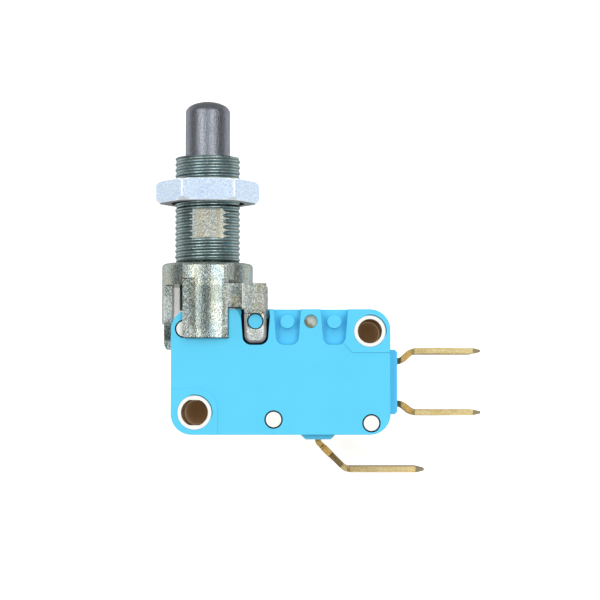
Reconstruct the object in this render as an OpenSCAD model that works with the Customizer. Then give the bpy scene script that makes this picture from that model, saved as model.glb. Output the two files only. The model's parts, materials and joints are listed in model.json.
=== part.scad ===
// Snap-action switch with a threaded panel bushing and a sprung plunger.
// X runs along the case to the tab end, Z runs up the plunger, the front face looks along -Y.
// The origin lies on the bushing axis, on the collar face that meets the panel.

/* [Case] */
// length of the case
case_l = 27.8; // [27:0.1:31]
// height of the case
case_h = 15.9; // [15.4:0.1:18]
// thickness of the case over its corner pads
case_t = 10.3; // [10:0.1:12]
// radius of the case corners
case_r = 2.6; // [2:0.1:3]
// thickness of the end walls
wall = 1.2; // [1:0.05:1.4]
// thickness of the side plates
plate = 1.2; // [1.1:0.05:1.5]
// depth of the solid band along the top
band_h = 4.9; // [4.8:0.1:5.2]
// depth of the cover, measured from the front face
cover_t = 5.15; // [4.6:0.05:5.6]
// height of the corner pads above the side plates
pad_h = 0.08; // [0.05:0.01:0.2]
// case end to the bushing axis
case_in = 4.4; // [4.3:0.1:5]
// case top below the panel seat
case_drop = 6; // [5.8:0.1:7]

/* [Mounting holes] */
// diameter of the round hole
hole_d = 3.1; // [2.9:0.05:3.3]
// round hole to the tab end
hole_in_x = 2.6; // [2.4:0.1:3]
// round hole to the case top
hole_in_z = 2.8; // [2.4:0.1:2.9]
// diameter of the locating hole
slot_d = 3.45; // [3.35:0.05:3.6]
// distance between the flats of the locating hole
slot_flat = 3.2; // [3.15:0.05:3.3]
// locating hole to the bushing end
slot_in_x = 3; // [2.8:0.1:3.4]
// locating hole to the case bottom
slot_in_z = 2.8; // [2.4:0.1:3]
// wall of the tube around each hole
tube_wall = 0.43; // [0.35:0.01:0.6]
// side of a corner pad
pad_side = 5.9; // [5.4:0.1:6.4]

/* [Case details] */
// diameter of the joining pins
pin_d = 1.96; // [1.7:0.02:2.1]
// gap around each joining pin
pin_gap = 0.15; // [0.05:0.01:0.2]
// width of the snap pockets
pocket_w = 3.3; // [3.2:0.1:3.6]
// gap below the snap tabs in their pockets
pocket_gap = 0.4; // [0.2:0.05:0.5]
// depth of the snap pockets
pocket_t = 1.1; // [0.9:0.05:1.2]
// radius of the pocket corners
pocket_r = 1; // [0.6:0.1:1.3]
// width of the ramp into the ear pocket
ramp_w = 1.15; // [0.9:0.05:1.3]
// height of the ramp into the ear pocket
ramp_h = 1.6; // [1.2:0.05:1.8]
// diameter of the snap bosses
boss_d = 1.8; // [1.5:0.05:1.9]
// bosses to the case top
boss_in = 1.55; // [1.4:0.05:1.8]
// ear boss to the bushing axis
ear_x = 6.3; // [6.2:0.1:6.5]
// ear boss to the middle boss
boss_step = 4.05; // [3.9:0.05:4.3]
// middle boss to the last boss
boss_span = 5.95; // [5.5:0.05:6]
// diameter of the sight hole between the bosses
sight_d = 1.7; // [1.4:0.05:1.8]
// depth of the sight hole
sight_t = 0.9; // [0.5:0.05:1.4]
// reach of the rib on the tab end
rib_out = 0.9; // [0.6:0.05:1.2]
// length of the rib on the tab end
rib_l = 8.2; // [7.8:0.1:8.6]
// rib to the case top
rib_in = 5.1; // [4.9:0.1:5.4]
// width of the rib and the bottom flange
rib_w = 8; // [7.6:0.1:8.8]
// reach of the bottom flange
flange_out = 0.6; // [0.4:0.05:0.9]
// chamfer of the end rib
rib_c = 0.3; // [0.1:0.05:0.4]
// length of the bottom flange
flange_l = 4.4; // [4:0.1:5]

/* [Bushing] */
// diameter of the threaded barrel
barrel_d = 8.4; // [8.3:0.05:9]
// height of the barrel above the panel seat
barrel_h = 13.5; // [13:0.1:15]
// chamfer at the mouth of the barrel
barrel_c = 0.2; // [0.1:0.05:0.5]
// height of the thread undercut
undercut_h = 0.3; // [0.2:0.05:0.6]
// depth of the thread undercut
undercut_t = 0.3; // [0.2:0.02:0.36]
// height of the two flats on the barrel
key_h = 3.85; // [3:0.05:4.2]
// flats to the panel seat
key_z = 3.15; // [2.6:0.05:3.4]
// depth of the flats
key_t = 0.64; // [0.3:0.02:0.64]
// diameter of the collar
collar_d = 11.7; // [11.6:0.05:12.2]
// height of the collar
collar_h = 2.8; // [2.7:0.05:3.2]
// rounding of the collar shoulder
collar_r = 0.45; // [0.2:0.05:0.6]
// length of the plunger guide
guide_h = 3; // [2.5:0.1:3.4]
// width of the clip legs
leg_w = 5.8; // [5.6:0.1:6.2]
// thickness of the clip legs at their ears
leg_t = 0.35; // [0.32:0.01:0.4]
// thickness of the strip along the other edge of the legs
strip_leg_t = 0.62; // [0.55:0.01:0.66]
// width of that strip
strip_leg_w = 1.65; // [1.4:0.05:1.9]
// thickness of the ears over the case
ear_t = 0.5; // [0.4:0.02:0.6]
// lap of the legs over the case
leg_lap = 3.7; // [3:0.1:4.2]
// ledge of the legs below the panel seat
leg_top = 2.2; // [2:0.05:2.5]
// width of the ears and their tabs
ear_w = 2.8; // [2.6:0.05:2.9]
// lap of the ears over the case
ear_lap = 0.5; // [0.3:0.05:0.8]
// ears above the case
ear_up = 3.3; // [3:0.1:3.5]
// lap of the snap tabs over the case
tab_lap = 4.1; // [3.6:0.05:4.2]
// height of the webs between legs and ears
web_h = 3.15; // [2.8:0.05:3.2]
// thickness of the webs
web_t = 1; // [0.8:0.05:1.2]
// lap of the end wall over the case
skirt_lap = 1.7; // [1.2:0.1:2]
// edges of the end wall to the bushing axis
skirt_y = 2.4; // [2.2:0.05:2.8]
// lap of the end hook over the case
hook_lap = 5; // [4.6:0.1:5.6]
// thickness of the end hook
hook_t = 1.1; // [0.8:0.05:1.2]
// width of the end hook
hook_w = 3.4; // [3:0.1:3.8]
// wall of the spring sleeve under the collar
sleeve_t = 0.4; // [0.35:0.01:0.5]

/* [Panel nut] */
// width across the flats
nut_af = 12; // [11.5:0.1:13]
// thickness of the nut
nut_t = 2.8; // [2.4:0.1:3]
// bluntness of the nut's corners
nut_blunt = 0.2; // [0.1:0.02:0.4]
// chamfer of the nut's faces at its corners
nut_c = 0.5; // [0.2:0.02:0.6]
// underside of the nut above the panel seat
nut_z = 7.85; // [7.2:0.05:8.2]

/* [Plunger] */
// diameter of the plunger
rod_d = 5.75; // [5.4:0.05:5.8]
// reach of the plunger above the barrel
rod_out = 7.6; // [7:0.1:9]
// height of the domed tip
dome_h = 1.4; // [1.1:0.1:1.8]
// step of the plunger flange
rod_step = 0.275; // [0.25:0.005:0.3]
// thickness of the plunger flange
rod_flange_t = 1; // [0.8:0.05:1.2]
// gap between the plunger skirt and the return spring
skirt_c = 0.2; // [0.15:0.01:0.25]
// length of the plunger skirt
skirt_h = 4.4; // [4.2:0.1:4.6]
// wall of the plunger skirt
skirt_wall = 0.6; // [0.55:0.01:0.65]
// solid length above the bore
rod_cap = 4.1; // [3.6:0.1:4.6]
// thickness of the ring in the plunger mouth
ring_t = 0.8; // [0.6:0.05:1]
// gap between the ring in the plunger mouth and the push pin
ring_c = 0.2; // [0.15:0.01:0.25]

/* [Push pin] */
// gap around the push pin head
head_c = 0.1; // [0.05:0.01:0.2]
// thickness of the push pin head
head_t = 1.5; // [1.2:0.1:1.7]
// diameter of the push pin stem
stem_d = 2; // [1.8:0.05:2.1]
// diameter of the push pin foot
foot_d = 6; // [5.4:0.1:6.3]
// thickness of the push pin foot
foot_t = 1; // [0.7:0.05:1.1]
// gap between the push pin foot and the sleeve
foot_c = 0.2; // [0.1:0.01:0.3]

/* [Springs] */
// wire of the return spring
return_wire = 0.5; // [0.4:0.02:0.56]
// wire of the overtravel spring
over_wire = 0.4; // [0.3:0.02:0.46]
// wire of the snap spring
snap_wire = 0.36; // [0.3:0.02:0.44]
// coil diameter of the snap spring
snap_d = 1.3; // [1.1:0.05:1.5]
// gap around the return spring
return_c = 0.15; // [0.1:0.01:0.2]
// gap around the overtravel spring
over_c = 0.1; // [0.08:0.01:0.15]
// thickness of the spring seat
seat_t = 0.7; // [0.5:0.05:0.8]
// gap between the spring seat and the push pin
seat_c = 0.3; // [0.2:0.05:0.5]
// thickness of the seat ring
clip_t = 0.7; // [0.5:0.05:0.8]
// bite of the seat ring in its groove
clip_bite = 0.28; // [0.2:0.02:0.34]
// radial width of the seat ring
clip_w = 0.8; // [0.6:0.05:1]
// lip below the seat ring
lip_h = 0.38; // [0.3:0.02:0.5]

/* [Switch works] */
// width of the button along the case
button_w = 2.6; // [2.3:0.05:2.65]
// depth of the button across the case
button_y = 3.6; // [3.2:0.1:3.8]
// reach of the button above the case
button_out = 1.8; // [1.6:0.05:1.9]
// stroke of the button
button_stroke = 1.5; // [1.2:0.05:1.55]
// reach of the button lugs
lug_out = 0.6; // [0.4:0.05:0.7]
// thickness of the button lugs
lug_t = 1; // [0.7:0.05:1.2]
// gap between the lever boss and the end wall
pivot_gap = 0.1; // [0.05:0.01:0.15]
// lever pivot to the case top
pivot_z = 9.2; // [9.1:0.05:9.3]
// diameter of the lever pin
lever_pin_d = 0.8; // [0.6:0.05:0.9]
// lever boss diameter
lever_boss_d = 1.4; // [1.3:0.05:1.5]
// thickness of the lever
lever_t = 0.5; // [0.4:0.02:0.55]
// width of the lever
lever_w = 2.2; // [1.8:0.05:2.4]
// nose of the lever to its pivot
nose_x = 3.3; // [3.2:0.05:3.5]
// radius of the lever nose
nose_r = 0.5; // [0.4:0.02:0.55]
// lever tip to the fork
tip_gap = 1.2; // [1:0.05:1.4]

/* [Contacts and terminals] */
// width of the push-on tabs
tab_w = 6.3; // [5.8:0.1:6.5]
// thickness of the terminal strip
strip_t = 0.8; // [0.7:0.05:0.9]
// width of the strip inside the case
neck_w = 4.7; // [4.4:0.1:5]
// hole in the push-on tabs
tab_hole = 1.8; // [1.5:0.05:2]
// tab hole to the tip
tab_hole_in = 3.6; // [3:0.1:4]
// taper at the tip of the tabs
tip_l = 1; // [0.6:0.1:1.3]
// legs of the round bends past half the strip
bend_c = 0.2; // [0.18:0.01:0.25]
// straight of the common neck below its flange
neck_l = 0.35; // [0.34:0.01:0.4]
// reach of the two end tabs past the case
end_reach = 11.8; // [11:0.1:13]
// offset of the upper tab from its neck
upper_jog = 1.3; // [1:0.05:1.5]
// offset of the lower tab from its neck
lower_jog = 1.13; // [0.9:0.05:1.4]
// common neck to the tab end
common_in = 9.16; // [9:0.02:9.4]
// drop of the common tab below the case
common_drop = 4.43; // [4:0.05:5]
// reach of the common tab past its neck
common_reach = 13.66; // [12:0.05:14.5]
// fork to the bushing axis
fork_x = 6.35; // [6.2:0.05:6.5]
// contact pivot below the case top
arm_z = 9.24; // [9.2:0.01:9.3]
// contacts to the tab end
contact_in = 6.3; // [6:0.05:6.6]
// contact diameter
contact_d = 2; // [1.8:0.05:2.3]
// height of each moving contact face above the arm
contact_h = 0.7; // [0.6:0.02:0.8]
// swing of the contact arm
arm_swing = 5.3; // [4.8:0.1:5.6]
// thickness of the contact arm
arm_t = 0.4; // [0.3:0.02:0.45]
// width of the contact arm
arm_w = 4.4; // [4.2:0.1:4.6]
// width of the window in the arm and the fork
fork_gap = 2.6; // [2.5:0.02:2.7]
// depth of the notch that the arm rocks in
notch_t = 0.35; // [0.3:0.01:0.45]
// height of each fixed contact
fixed_h = 0.84; // [0.7:0.02:1]

/* [Hidden] */
$fn = 48;
// running clearance of sliding and turning pieces
run_c = 0.05;
// clearance of seated pieces
fit_c = 0.02;
// clearance at the ends of the snap spring
hook_c = 0.25;
// overrun of cutting tools
over = 1;

blue = [0.45, 0.83, 0.98];
white = [0.9, 0.93, 0.9];
zinc = [0.72, 0.73, 0.66];
bright = [0.84, 0.89, 0.96];
steel = [0.45, 0.46, 0.5];
wire = [0.62, 0.64, 0.66];
brass = [0.84, 0.76, 0.56];
silver = [0.86, 0.86, 0.87];
black = [0.16, 0.16, 0.17];

// case faces
x0 = -case_in;
x1 = x0 + case_l;
z1 = -case_drop;
z0 = z1 - case_h;
y_pad = case_t / 2;
y_face = y_pad - pad_h;
y_in = y_pad - plate;
y_split = -y_pad + cover_t;
z_band = z1 - band_h;

// mounting holes and joining pins
hole = [x1 - hole_in_x, z1 - hole_in_z];
slot = [x0 + slot_in_x, z0 + slot_in_z];
hole_tube = hole_d / 2 + tube_wall;
slot_tube = slot_d / 2 + tube_wall;
pins = [[x0 + 1.67, z1 - 2.5], [x1 - 14.79, z0 + 1.93], [x1 - 2.42, z0 + 1.46]];
boss_z = z1 - boss_in;
mid_x = ear_x + boss_step;
end_x = mid_x + boss_span;
sight_x = (mid_x + end_x) / 2;

// bushing stack, from the mouth of the barrel down
barrel_r = barrel_d / 2;
guide_r = rod_d / 2 + run_c;
rod_flange_d = rod_d + 2 * rod_step;
well_r = rod_flange_d / 2 + run_c;
coil_r = well_r - return_c - return_wire / 2;
skirt_d = 2 * coil_r - return_wire - 2 * skirt_c;
rod_bore = skirt_d - 2 * skirt_wall;
head_d = rod_bore - 2 * head_c;
ring_bore = stem_d + 2 * ring_c;
seat_bore = stem_d + 2 * seat_c;
sleeve_r = foot_d / 2 + foot_c;
z_stop = barrel_h - guide_h;
rod_flange_z = z_stop - 0.1 - rod_flange_t;
rod_tip = barrel_h + rod_out;
rod_base = rod_flange_z - skirt_h;
rod_bore_z = rod_tip - rod_cap;
z_head = rod_base + ring_t + fit_c;
z_clip = -collar_h + lip_h;
z_seat = z_clip + clip_t + 2 * fit_c;
seat_top = z_seat + seat_t;
button_top = z1 + button_out;

// clip
grip_y = y_face + fit_c;
leg_y = grip_y + leg_t;
ear_y = grip_y + ear_t;
ear_x0 = ear_x - ear_w / 2;
tab_back = y_pad - pocket_t + fit_c;
pocket_h = tab_lap + pocket_gap;

// switch works
lug_z = z_band - fit_c;
pivot = [x0 + wall + lever_boss_d / 2 + pivot_gap, z1 - pivot_z];
lever_swing = 2 * asin(button_stroke / 2 / nose_x);
nose_up = 0.3;
nose_z = pivot[1] + button_stroke / 2 + nose_up * cos(lever_swing / 2) + nose_r;
button_base = nose_z + run_c;
lever_l = fork_x - strip_t - tip_gap - pivot[0];
arm = [fork_x, z1 - arm_z];
contact_x = x1 - contact_in;
contact_l = contact_x - fork_x;
face_up = contact_l * sin(arm_swing / 2) + (contact_h + arm_t / 2) * cos(arm_swing / 2)
    + contact_d / 2 * sin(arm_swing / 2) + fit_c;
upper_z = arm[1] + face_up + fixed_h + strip_t / 2;
lower_z = arm[1] - face_up - fixed_h - strip_t / 2;
common_x = x1 - common_in;
fork_base = pins[1][1] + pin_d / 2 + pin_gap + strip_t / 2;
snap_l = contact_l - 3.3;
bend_l = strip_t / 2 + bend_c;

// a flat shape drawn in x and z, pushed from one depth to another
module across(ya, yb) {
  translate([0, yb, 0])
    rotate([90, 0, 0])
      linear_extrude(yb - ya)
        children();
}

// a round bar across the case
module bar(p, r, ya, yb) {
  translate([p[0], yb, p[1]])
    rotate([90, 0, 0])
      cylinder(r = r, h = yb - ya);
}

// a block between two corners
module block(a, b) {
  translate(a)
    cube(b - a);
}

// an upright ring
module ring(r, bore, za, zb) {
  difference() {
    translate([0, 0, za])
      cylinder(r = r, h = zb - za);
    translate([0, 0, za - over])
      cylinder(r = bore, h = zb - za + 2 * over);
  }
}

// mitred normal of a path at one of its points
function side(p, i) =
  let (a = p[max(i - 1, 0)], b = p[i], c = p[min(i + 1, len(p) - 1)])
  let (u = b == a ? c - b : b - a, v = c == b ? b - a : c - b)
  let (n = [-u[1], u[0]] / norm(u), m = [-v[1], v[0]] / norm(v))
  (n + m) / (1 + n * m);

// outline of a bent strip, with half its thickness given at each point
function strip(p, t) = concat(
  [for (i = [0 : len(p) - 1]) p[i] + side(p, i) * t[i]],
  [for (i = [len(p) - 1 : -1 : 0]) p[i] - side(p, i) * t[i]]);

// a path with a round bend at each corner, with the legs of each bend given
function bends(p, t, n = 4) = [for (i = [0 : len(p) - 1])
  let (a = p[max(i - 1, 0)], b = p[i], c = p[min(i + 1, len(p) - 1)])
  each a == b || b == c ? [b] : [for (j = [0 : n])
    let (s = j / n, u = (a - b) / norm(a - b), v = (c - b) / norm(c - b))
    b + t[i - 1] * ((1 - s) * (1 - s) * u + s * s * v)]];

// a wire coil standing on z = 0, with a round wire at both ends
module coil(r, w, h, turns, steps = 16, k = 6) {
  n = turns * steps;
  points = [for (i = [0 : n]) for (j = [0 : k - 1])
    let (a = 360 * i / steps, b = 360 * j / k, q = r + w * cos(b))
    [q * cos(a), q * sin(a), w + (h - 2 * w) * i / n + w * sin(b)]];
  skin = [for (i = [0 : n - 1]) for (j = [0 : k - 1])
    let (m = (j + 1) % k)
    [i * k + j, (i + 1) * k + j, (i + 1) * k + m, i * k + m]];
  start = [[for (j = [0 : k - 1]) j]];
  end = [[for (j = [k - 1 : -1 : 0]) n * k + j]];
  polyhedron(points, concat(skin, start, end));
}

// outline of the case
module case_outline() {
  translate([x0 + case_r, z0])
    square([case_l - 2 * case_r, case_h]);
  translate([x0, z0 + case_r])
    square([case_l, case_h - 2 * case_r]);
  for (x = [x0 + case_r, x1 - case_r], z = [z0 + case_r, z1 - case_r])
    translate([x, z])
      circle(case_r);
}

// the two corner pads around the mounting holes
module pads() {
  intersection() {
    case_outline();
    union() {
      translate([x1 - pad_side, z1 - pad_side + 0.4])
        polygon([[0, pad_side], [0, 1.2], [1.05, 0], [pad_side, 0], [pad_side, pad_side]]);
      translate([x0, z0]) {
        square([pad_side - 2.6, pad_side]);
        square([pad_side, pad_side - 2.6]);
        translate([pad_side - 2.6, pad_side - 2.6])
          circle(2.6);
      }
    }
  }
}

// the hollow that holds the works
module hollow() {
  translate([x0 + wall, z0 + wall])
    square([case_l - 2 * wall, z_band - z0 - wall]);
}

// a snap pocket, open at the case top, with a round foot
module pocket(x, w) {
  foot = z1 - pocket_h + pocket_r;
  polygon([[x - w / 2 - 0.35, z1 + over], [x - w / 2 - 0.35, z1], [x - w / 2, z1 - 0.9],
    [x - w / 2 + 0.2, foot], [x + w / 2 - 0.2, foot], [x + w / 2, z1 - 0.9],
    [x + w / 2 + 0.35, z1], [x + w / 2 + 0.35, z1 + over]]);
  for (s = [-1, 1])
    translate([x + s * (w / 2 - 0.2 - pocket_r), foot])
      circle(pocket_r);
  translate([x - w / 2 + 0.2 + pocket_r, z1 - pocket_h])
    square([w - 0.4 - 2 * pocket_r, 2 * pocket_r]);
}

// everything that is cut out of both halves, on the side that looks along -y
module side_cuts() {
  across(-y_pad - over, -y_pad + pocket_t)
    for (p = [[ear_x, ear_w + 0.5], [mid_x, pocket_w], [end_x, pocket_w]])
      pocket(p[0], p[1]);
  // the ramp that leads the snap tab into its pocket
  foot = [ear_x0 - ramp_w, -y_pad, z1];
  n = cross([ramp_w, 0, -ramp_h], [ramp_w, pocket_t, 0]);
  intersection() {
    block([ear_x0 - ramp_w - over, -y_pad - over, z1 - ramp_h - over],
      [ear_x, -y_pad + pocket_t, z1 + over]);
    translate(foot)
      rotate([0, acos(n[2] / norm(n)), atan2(n[1], n[0])])
        block([-4 * over, -4 * over, 0], [4 * over, 4 * over, 4 * over]);
  }
}

// the snap bosses, flush with the face that looks along -y
module bosses() {
  for (x = [ear_x, mid_x, end_x])
    bar([x, boss_z], boss_d / 2, -y_face, -y_pad + pocket_t + fit_c);
}

// passages for the button, the terminals and the works
module passages() {
  across(-y_in, y_in)
    hollow();
  block([-button_w / 2 - run_c, -button_y / 2 - run_c, z_band - over],
    [button_w / 2 + run_c, button_y / 2 + run_c, z1 + over]);
  for (z = [upper_z, lower_z])
    block([x1 - wall - over, -neck_w / 2 - fit_c, z - strip_t / 2 - fit_c],
      [x1 + rib_out + over, neck_w / 2 + fit_c, z + strip_t / 2 + fit_c]);
  block([common_x - strip_t / 2 - fit_c, -neck_w / 2 - fit_c, z0 - flange_out - over],
    [common_x + strip_t / 2 + fit_c, neck_w / 2 + fit_c, z0 + wall + over]);
  bar(pivot, lever_pin_d / 2 + fit_c, -y_in - plate / 2, y_in + plate / 2);
}

// the end rib and the bottom flange, between two depths
module ledges(ya, yb) {
  across(ya, yb) {
    polygon([[x1 - over, z1 - rib_in], [x1 + rib_out - rib_c, z1 - rib_in],
      [x1 + rib_out, z1 - rib_in - rib_c], [x1 + rib_out, z1 - rib_in - rib_l + rib_c],
      [x1 + rib_out - rib_c, z1 - rib_in - rib_l], [x1 - over, z1 - rib_in - rib_l]]);
    polygon([[common_x - flange_l / 2, z0 + over], [common_x - flange_l / 2, z0],
      [common_x - flange_l / 2 + flange_out, z0 - flange_out],
      [common_x + flange_l / 2 - flange_out, z0 - flange_out],
      [common_x + flange_l / 2, z0], [common_x + flange_l / 2, z0 + over]]);
  }
}

module case_cover() {
  color(blue)
    union() {
      difference() {
        union() {
          across(-y_face, y_split)
            case_outline();
          across(-y_pad, -y_face + fit_c)
            pads();
          ledges(-rib_w / 2, y_split);
        }
        passages();
        side_cuts();
        bar(hole, hole_tube + fit_c, -y_pad - over, y_split + over);
        bar(slot, slot_tube + fit_c, -y_pad - over, y_split + over);
        for (p = pins)
          bar(p, pin_d / 2 + pin_gap, -y_pad - over, y_split + over);
        bar([sight_x, boss_z], sight_d / 2, -y_pad - over, y_split + over);
      }
      bosses();
    }
}

module case_base() {
  color(white)
    difference() {
      union() {
        difference() {
          union() {
            across(y_split, y_face)
              case_outline();
            across(y_face - fit_c, y_pad)
              pads();
            ledges(y_split, rib_w / 2);
          }
          passages();
          mirror([0, 1, 0])
            side_cuts();
        }
        mirror([0, 1, 0])
          bosses();
        bar(hole, hole_tube, -y_pad, y_pad);
        bar(slot, slot_tube, -y_pad, y_pad);
        for (p = pins)
          bar(p, pin_d / 2, -y_face, y_face);
        bar([sight_x, boss_z], sight_d / 2 - fit_c, -y_face + sight_t, y_face - plate);
      }
      bar(hole, hole_d / 2, -y_pad - over, y_pad + over);
      intersection() {
        bar(slot, slot_d / 2, -y_pad - over, y_pad + over);
        block([slot[0] - slot_d, -y_pad - over, slot[1] - slot_flat / 2],
          [slot[0] + slot_d, y_pad + over, slot[1] + slot_flat / 2]);
      }
    }
}

// one side of the clip: leg, web, ear and snap tab, on the side that looks along -y
module clip_side() {
  // leg, with the collar's curve running down its middle
  block([-leg_w / 2, -leg_y, z1 - leg_lap], [leg_w / 2, -grip_y, -leg_top]);
  block([-leg_w / 2, -grip_y - strip_leg_t, z1 - leg_lap],
    [-leg_w / 2 + strip_leg_w, -grip_y, -leg_top]);
  intersection() {
    translate([0, 0, z1 - leg_lap])
      cylinder(r = collar_d / 2, h = leg_lap - z1 - collar_r, $fn = 96);
    block([-leg_w / 2, -collar_d, z1 - leg_lap], [leg_w / 2, -grip_y, 0]);
  }
  // web and ear
  block([leg_w / 2 - over, -leg_y, z1 + ear_up - web_h],
    [ear_x0 + 0.2, web_t - leg_y, z1 + ear_up]);
  difference() {
    block([ear_x0 - 0.3, -ear_y, z1 - ear_lap], [ear_x0 + ear_w, -tab_back, z1 + ear_up]);
    // below the case top the ear is no wider than its tab
    block([ear_x0 - over, -ear_y - over, z1 - ear_lap - over], [ear_x0, 0, z1 + fit_c]);
    // bevel along the outer edge
    translate([ear_x0 + ear_w, -ear_y, 0])
      rotate([0, 0, 45])
        block([-0.2, -0.2, z1 - over], [0.2, 0.2, z1 + ear_up - 1.1]);
  }
  // snap tab with a round foot
  difference() {
    across(-y_pad - 0.15, -tab_back) {
      translate([ear_x0, z1 - tab_lap + pocket_r])
        square([ear_w, tab_lap - pocket_r]);
      for (x = [ear_x0 + pocket_r, ear_x0 + ear_w - pocket_r])
        translate([x, z1 - tab_lap + pocket_r])
          circle(pocket_r);
      translate([ear_x0 + pocket_r, z1 - tab_lap])
        square([ear_w - 2 * pocket_r, pocket_r]);
    }
    bar([ear_x, boss_z], boss_d / 2 + run_c, -y_pad - over, 0);
  }
}

module bushing() {
  color(zinc)
    difference() {
      union() {
        // barrel, undercut and collar in one turned profile
        rotate_extrude($fn = 96)
          polygon(concat([[0, -collar_h], [collar_d / 2, -collar_h]],
            [for (a = [0 : 22.5 : 90])
              [collar_d / 2 - collar_r + collar_r * cos(a), -collar_r + collar_r * sin(a)]],
            [[barrel_r - undercut_t, 0], [barrel_r - undercut_t, undercut_h],
              [barrel_r, undercut_h + undercut_t], [barrel_r, barrel_h - barrel_c],
              [barrel_r - barrel_c, barrel_h], [0, barrel_h]]));
        // sleeve down to the case top
        translate([0, 0, z1 + fit_c])
          cylinder(r = sleeve_r + sleeve_t, h = -z1 - collar_h, $fn = 96);
        clip_side();
        mirror([0, 1, 0])
          clip_side();
        // end wall, a slice of the collar's cylinder
        intersection() {
          translate([0, 0, z1 - skirt_lap])
            cylinder(r = collar_d / 2, h = skirt_lap - z1 - collar_r, $fn = 96);
          block([-collar_d, -skirt_y, z1 - skirt_lap - over], [x0 - fit_c, skirt_y, 0]);
        }
        // end hook with a tapered foot
        across(-hook_w / 2, hook_w / 2)
          polygon([[x0 - fit_c, z1], [x0 - fit_c, z1 - hook_lap],
            [x0 - fit_c - hook_t + 0.3, z1 - hook_lap], [x0 - fit_c - hook_t, z1 - hook_lap + 0.6],
            [x0 - fit_c - hook_t, z1]]);
      }
      // plunger guide, spring well and sleeve
      translate([0, 0, -collar_h])
        cylinder(r = guide_r, h = barrel_h + collar_h + over);
      translate([0, 0, -collar_h - fit_c])
        cylinder(r = well_r, h = z_stop + collar_h + fit_c);
      translate([0, 0, z1 - over])
        cylinder(r = sleeve_r, h = over - z1 - collar_h);
      // groove of the seat ring
      translate([0, 0, z_clip])
        cylinder(r = well_r + clip_bite, h = clip_t + 2 * fit_c);
      // two flats on the barrel
      for (s = [-1, 1])
        translate([-collar_d / 2, s * (barrel_r - key_t + over) - over, key_z])
          cube([collar_d, 2 * over, key_h]);
    }
}

module panel_nut() {
  c = nut_af / sqrt(3);
  b = c - nut_blunt;
  f = b - nut_c / tan(30);
  color(bright)
    difference() {
      intersection() {
        translate([0, 0, nut_z])
          cylinder(r = c, h = nut_t, $fn = 6);
        rotate_extrude($fn = 96)
          polygon([[0, nut_z], [f, nut_z], [b, nut_z + nut_c], [b, nut_z + nut_t - nut_c],
            [f, nut_z + nut_t], [0, nut_z + nut_t]]);
      }
      translate([0, 0, nut_z - over])
        cylinder(r = barrel_r + run_c, h = nut_t + 2 * over);
      // lead-in on both faces
      for (z = [nut_z, nut_z + nut_t])
        translate([0, 0, z - 0.35])
          cylinder(r1 = barrel_r + (z > nut_z ? 0 : 0.7), r2 = barrel_r + (z > nut_z ? 0.7 : 0), h = 0.7);
    }
}

module plunger_rod() {
  color(steel)
    difference() {
      union() {
        // shank and domed tip, a quarter ellipse turned about the axis
        rotate_extrude($fn = 96)
          polygon(concat([[0, rod_flange_z], [rod_d / 2, rod_flange_z]],
            [for (a = [0 : 9 : 90])
              [rod_d / 2 * cos(a), rod_tip - dome_h + dome_h * sin(a)]]));
        translate([0, 0, rod_flange_z])
          cylinder(d = rod_flange_d, h = rod_flange_t);
        translate([0, 0, rod_base])
          cylinder(d = skirt_d, h = skirt_h + fit_c);
      }
      translate([0, 0, rod_base - over])
        cylinder(d = rod_bore, h = rod_bore_z - rod_base + over);
    }
}

module rod_ring() {
  color(steel)
    ring(rod_bore / 2 - fit_c, ring_bore / 2, rod_base, rod_base + ring_t);
}

module overtravel_spring() {
  z = z_head + head_t + fit_c;
  color(wire)
    translate([0, 0, z])
      coil(rod_bore / 2 - over_wire / 2 - over_c, over_wire / 2, rod_bore_z - fit_c - z, 9);
}

module push_pin() {
  color(black)
    union() {
      translate([0, 0, z_head])
        cylinder(d = head_d, h = head_t);
      translate([0, 0, button_top])
        cylinder(d = stem_d, h = z_head - button_top + fit_c);
      translate([0, 0, button_top])
        cylinder(d = foot_d, h = foot_t);
    }
}

module return_spring() {
  color(wire)
    translate([0, 0, seat_top + fit_c])
      coil(coil_r, return_wire / 2, rod_flange_z - seat_top - 2 * fit_c, 8);
}

module spring_seat() {
  color(wire)
    ring(well_r - fit_c, seat_bore / 2, z_seat, seat_top);
}

module seat_ring() {
  r = well_r + clip_bite - fit_c;
  color(wire)
    difference() {
      ring(r, r - clip_w, z_clip + fit_c, z_clip + fit_c + clip_t);
      // the opening that lets the ring close up
      block([0, -0.9, z_clip - over], [2 * r, 0.9, z_clip + clip_t + over]);
    }
}

module switch_button() {
  color(black)
    union() {
      block([-button_w / 2, -button_y / 2, button_base], [button_w / 2, button_y / 2, button_top]);
      // lugs that stop under the top band
      block([-button_w / 2 - lug_out, -button_y / 2, lug_z - lug_t],
        [button_w / 2 + lug_out, button_y / 2, lug_z]);
    }
}

module actuator_lever() {
  color(steel)
    translate([pivot[0], 0, pivot[1]])
      rotate([0, -lever_swing / 2, 0])
        difference() {
          union() {
            block([0, -lever_w / 2, -lever_t / 2], [lever_l, lever_w / 2, lever_t / 2]);
            bar([0, 0], lever_boss_d / 2, -lever_w / 2, lever_w / 2);
            // nose under the button
            bar([nose_x, nose_up], nose_r, -lever_w / 2, lever_w / 2);
          }
          bar([0, 0], lever_pin_d / 2 + run_c, -lever_w, lever_w);
        }
}

module lever_pin() {
  color(steel)
    bar(pivot, lever_pin_d / 2, -y_in - plate / 2 + fit_c, y_in + plate / 2 - fit_c);
}

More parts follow.
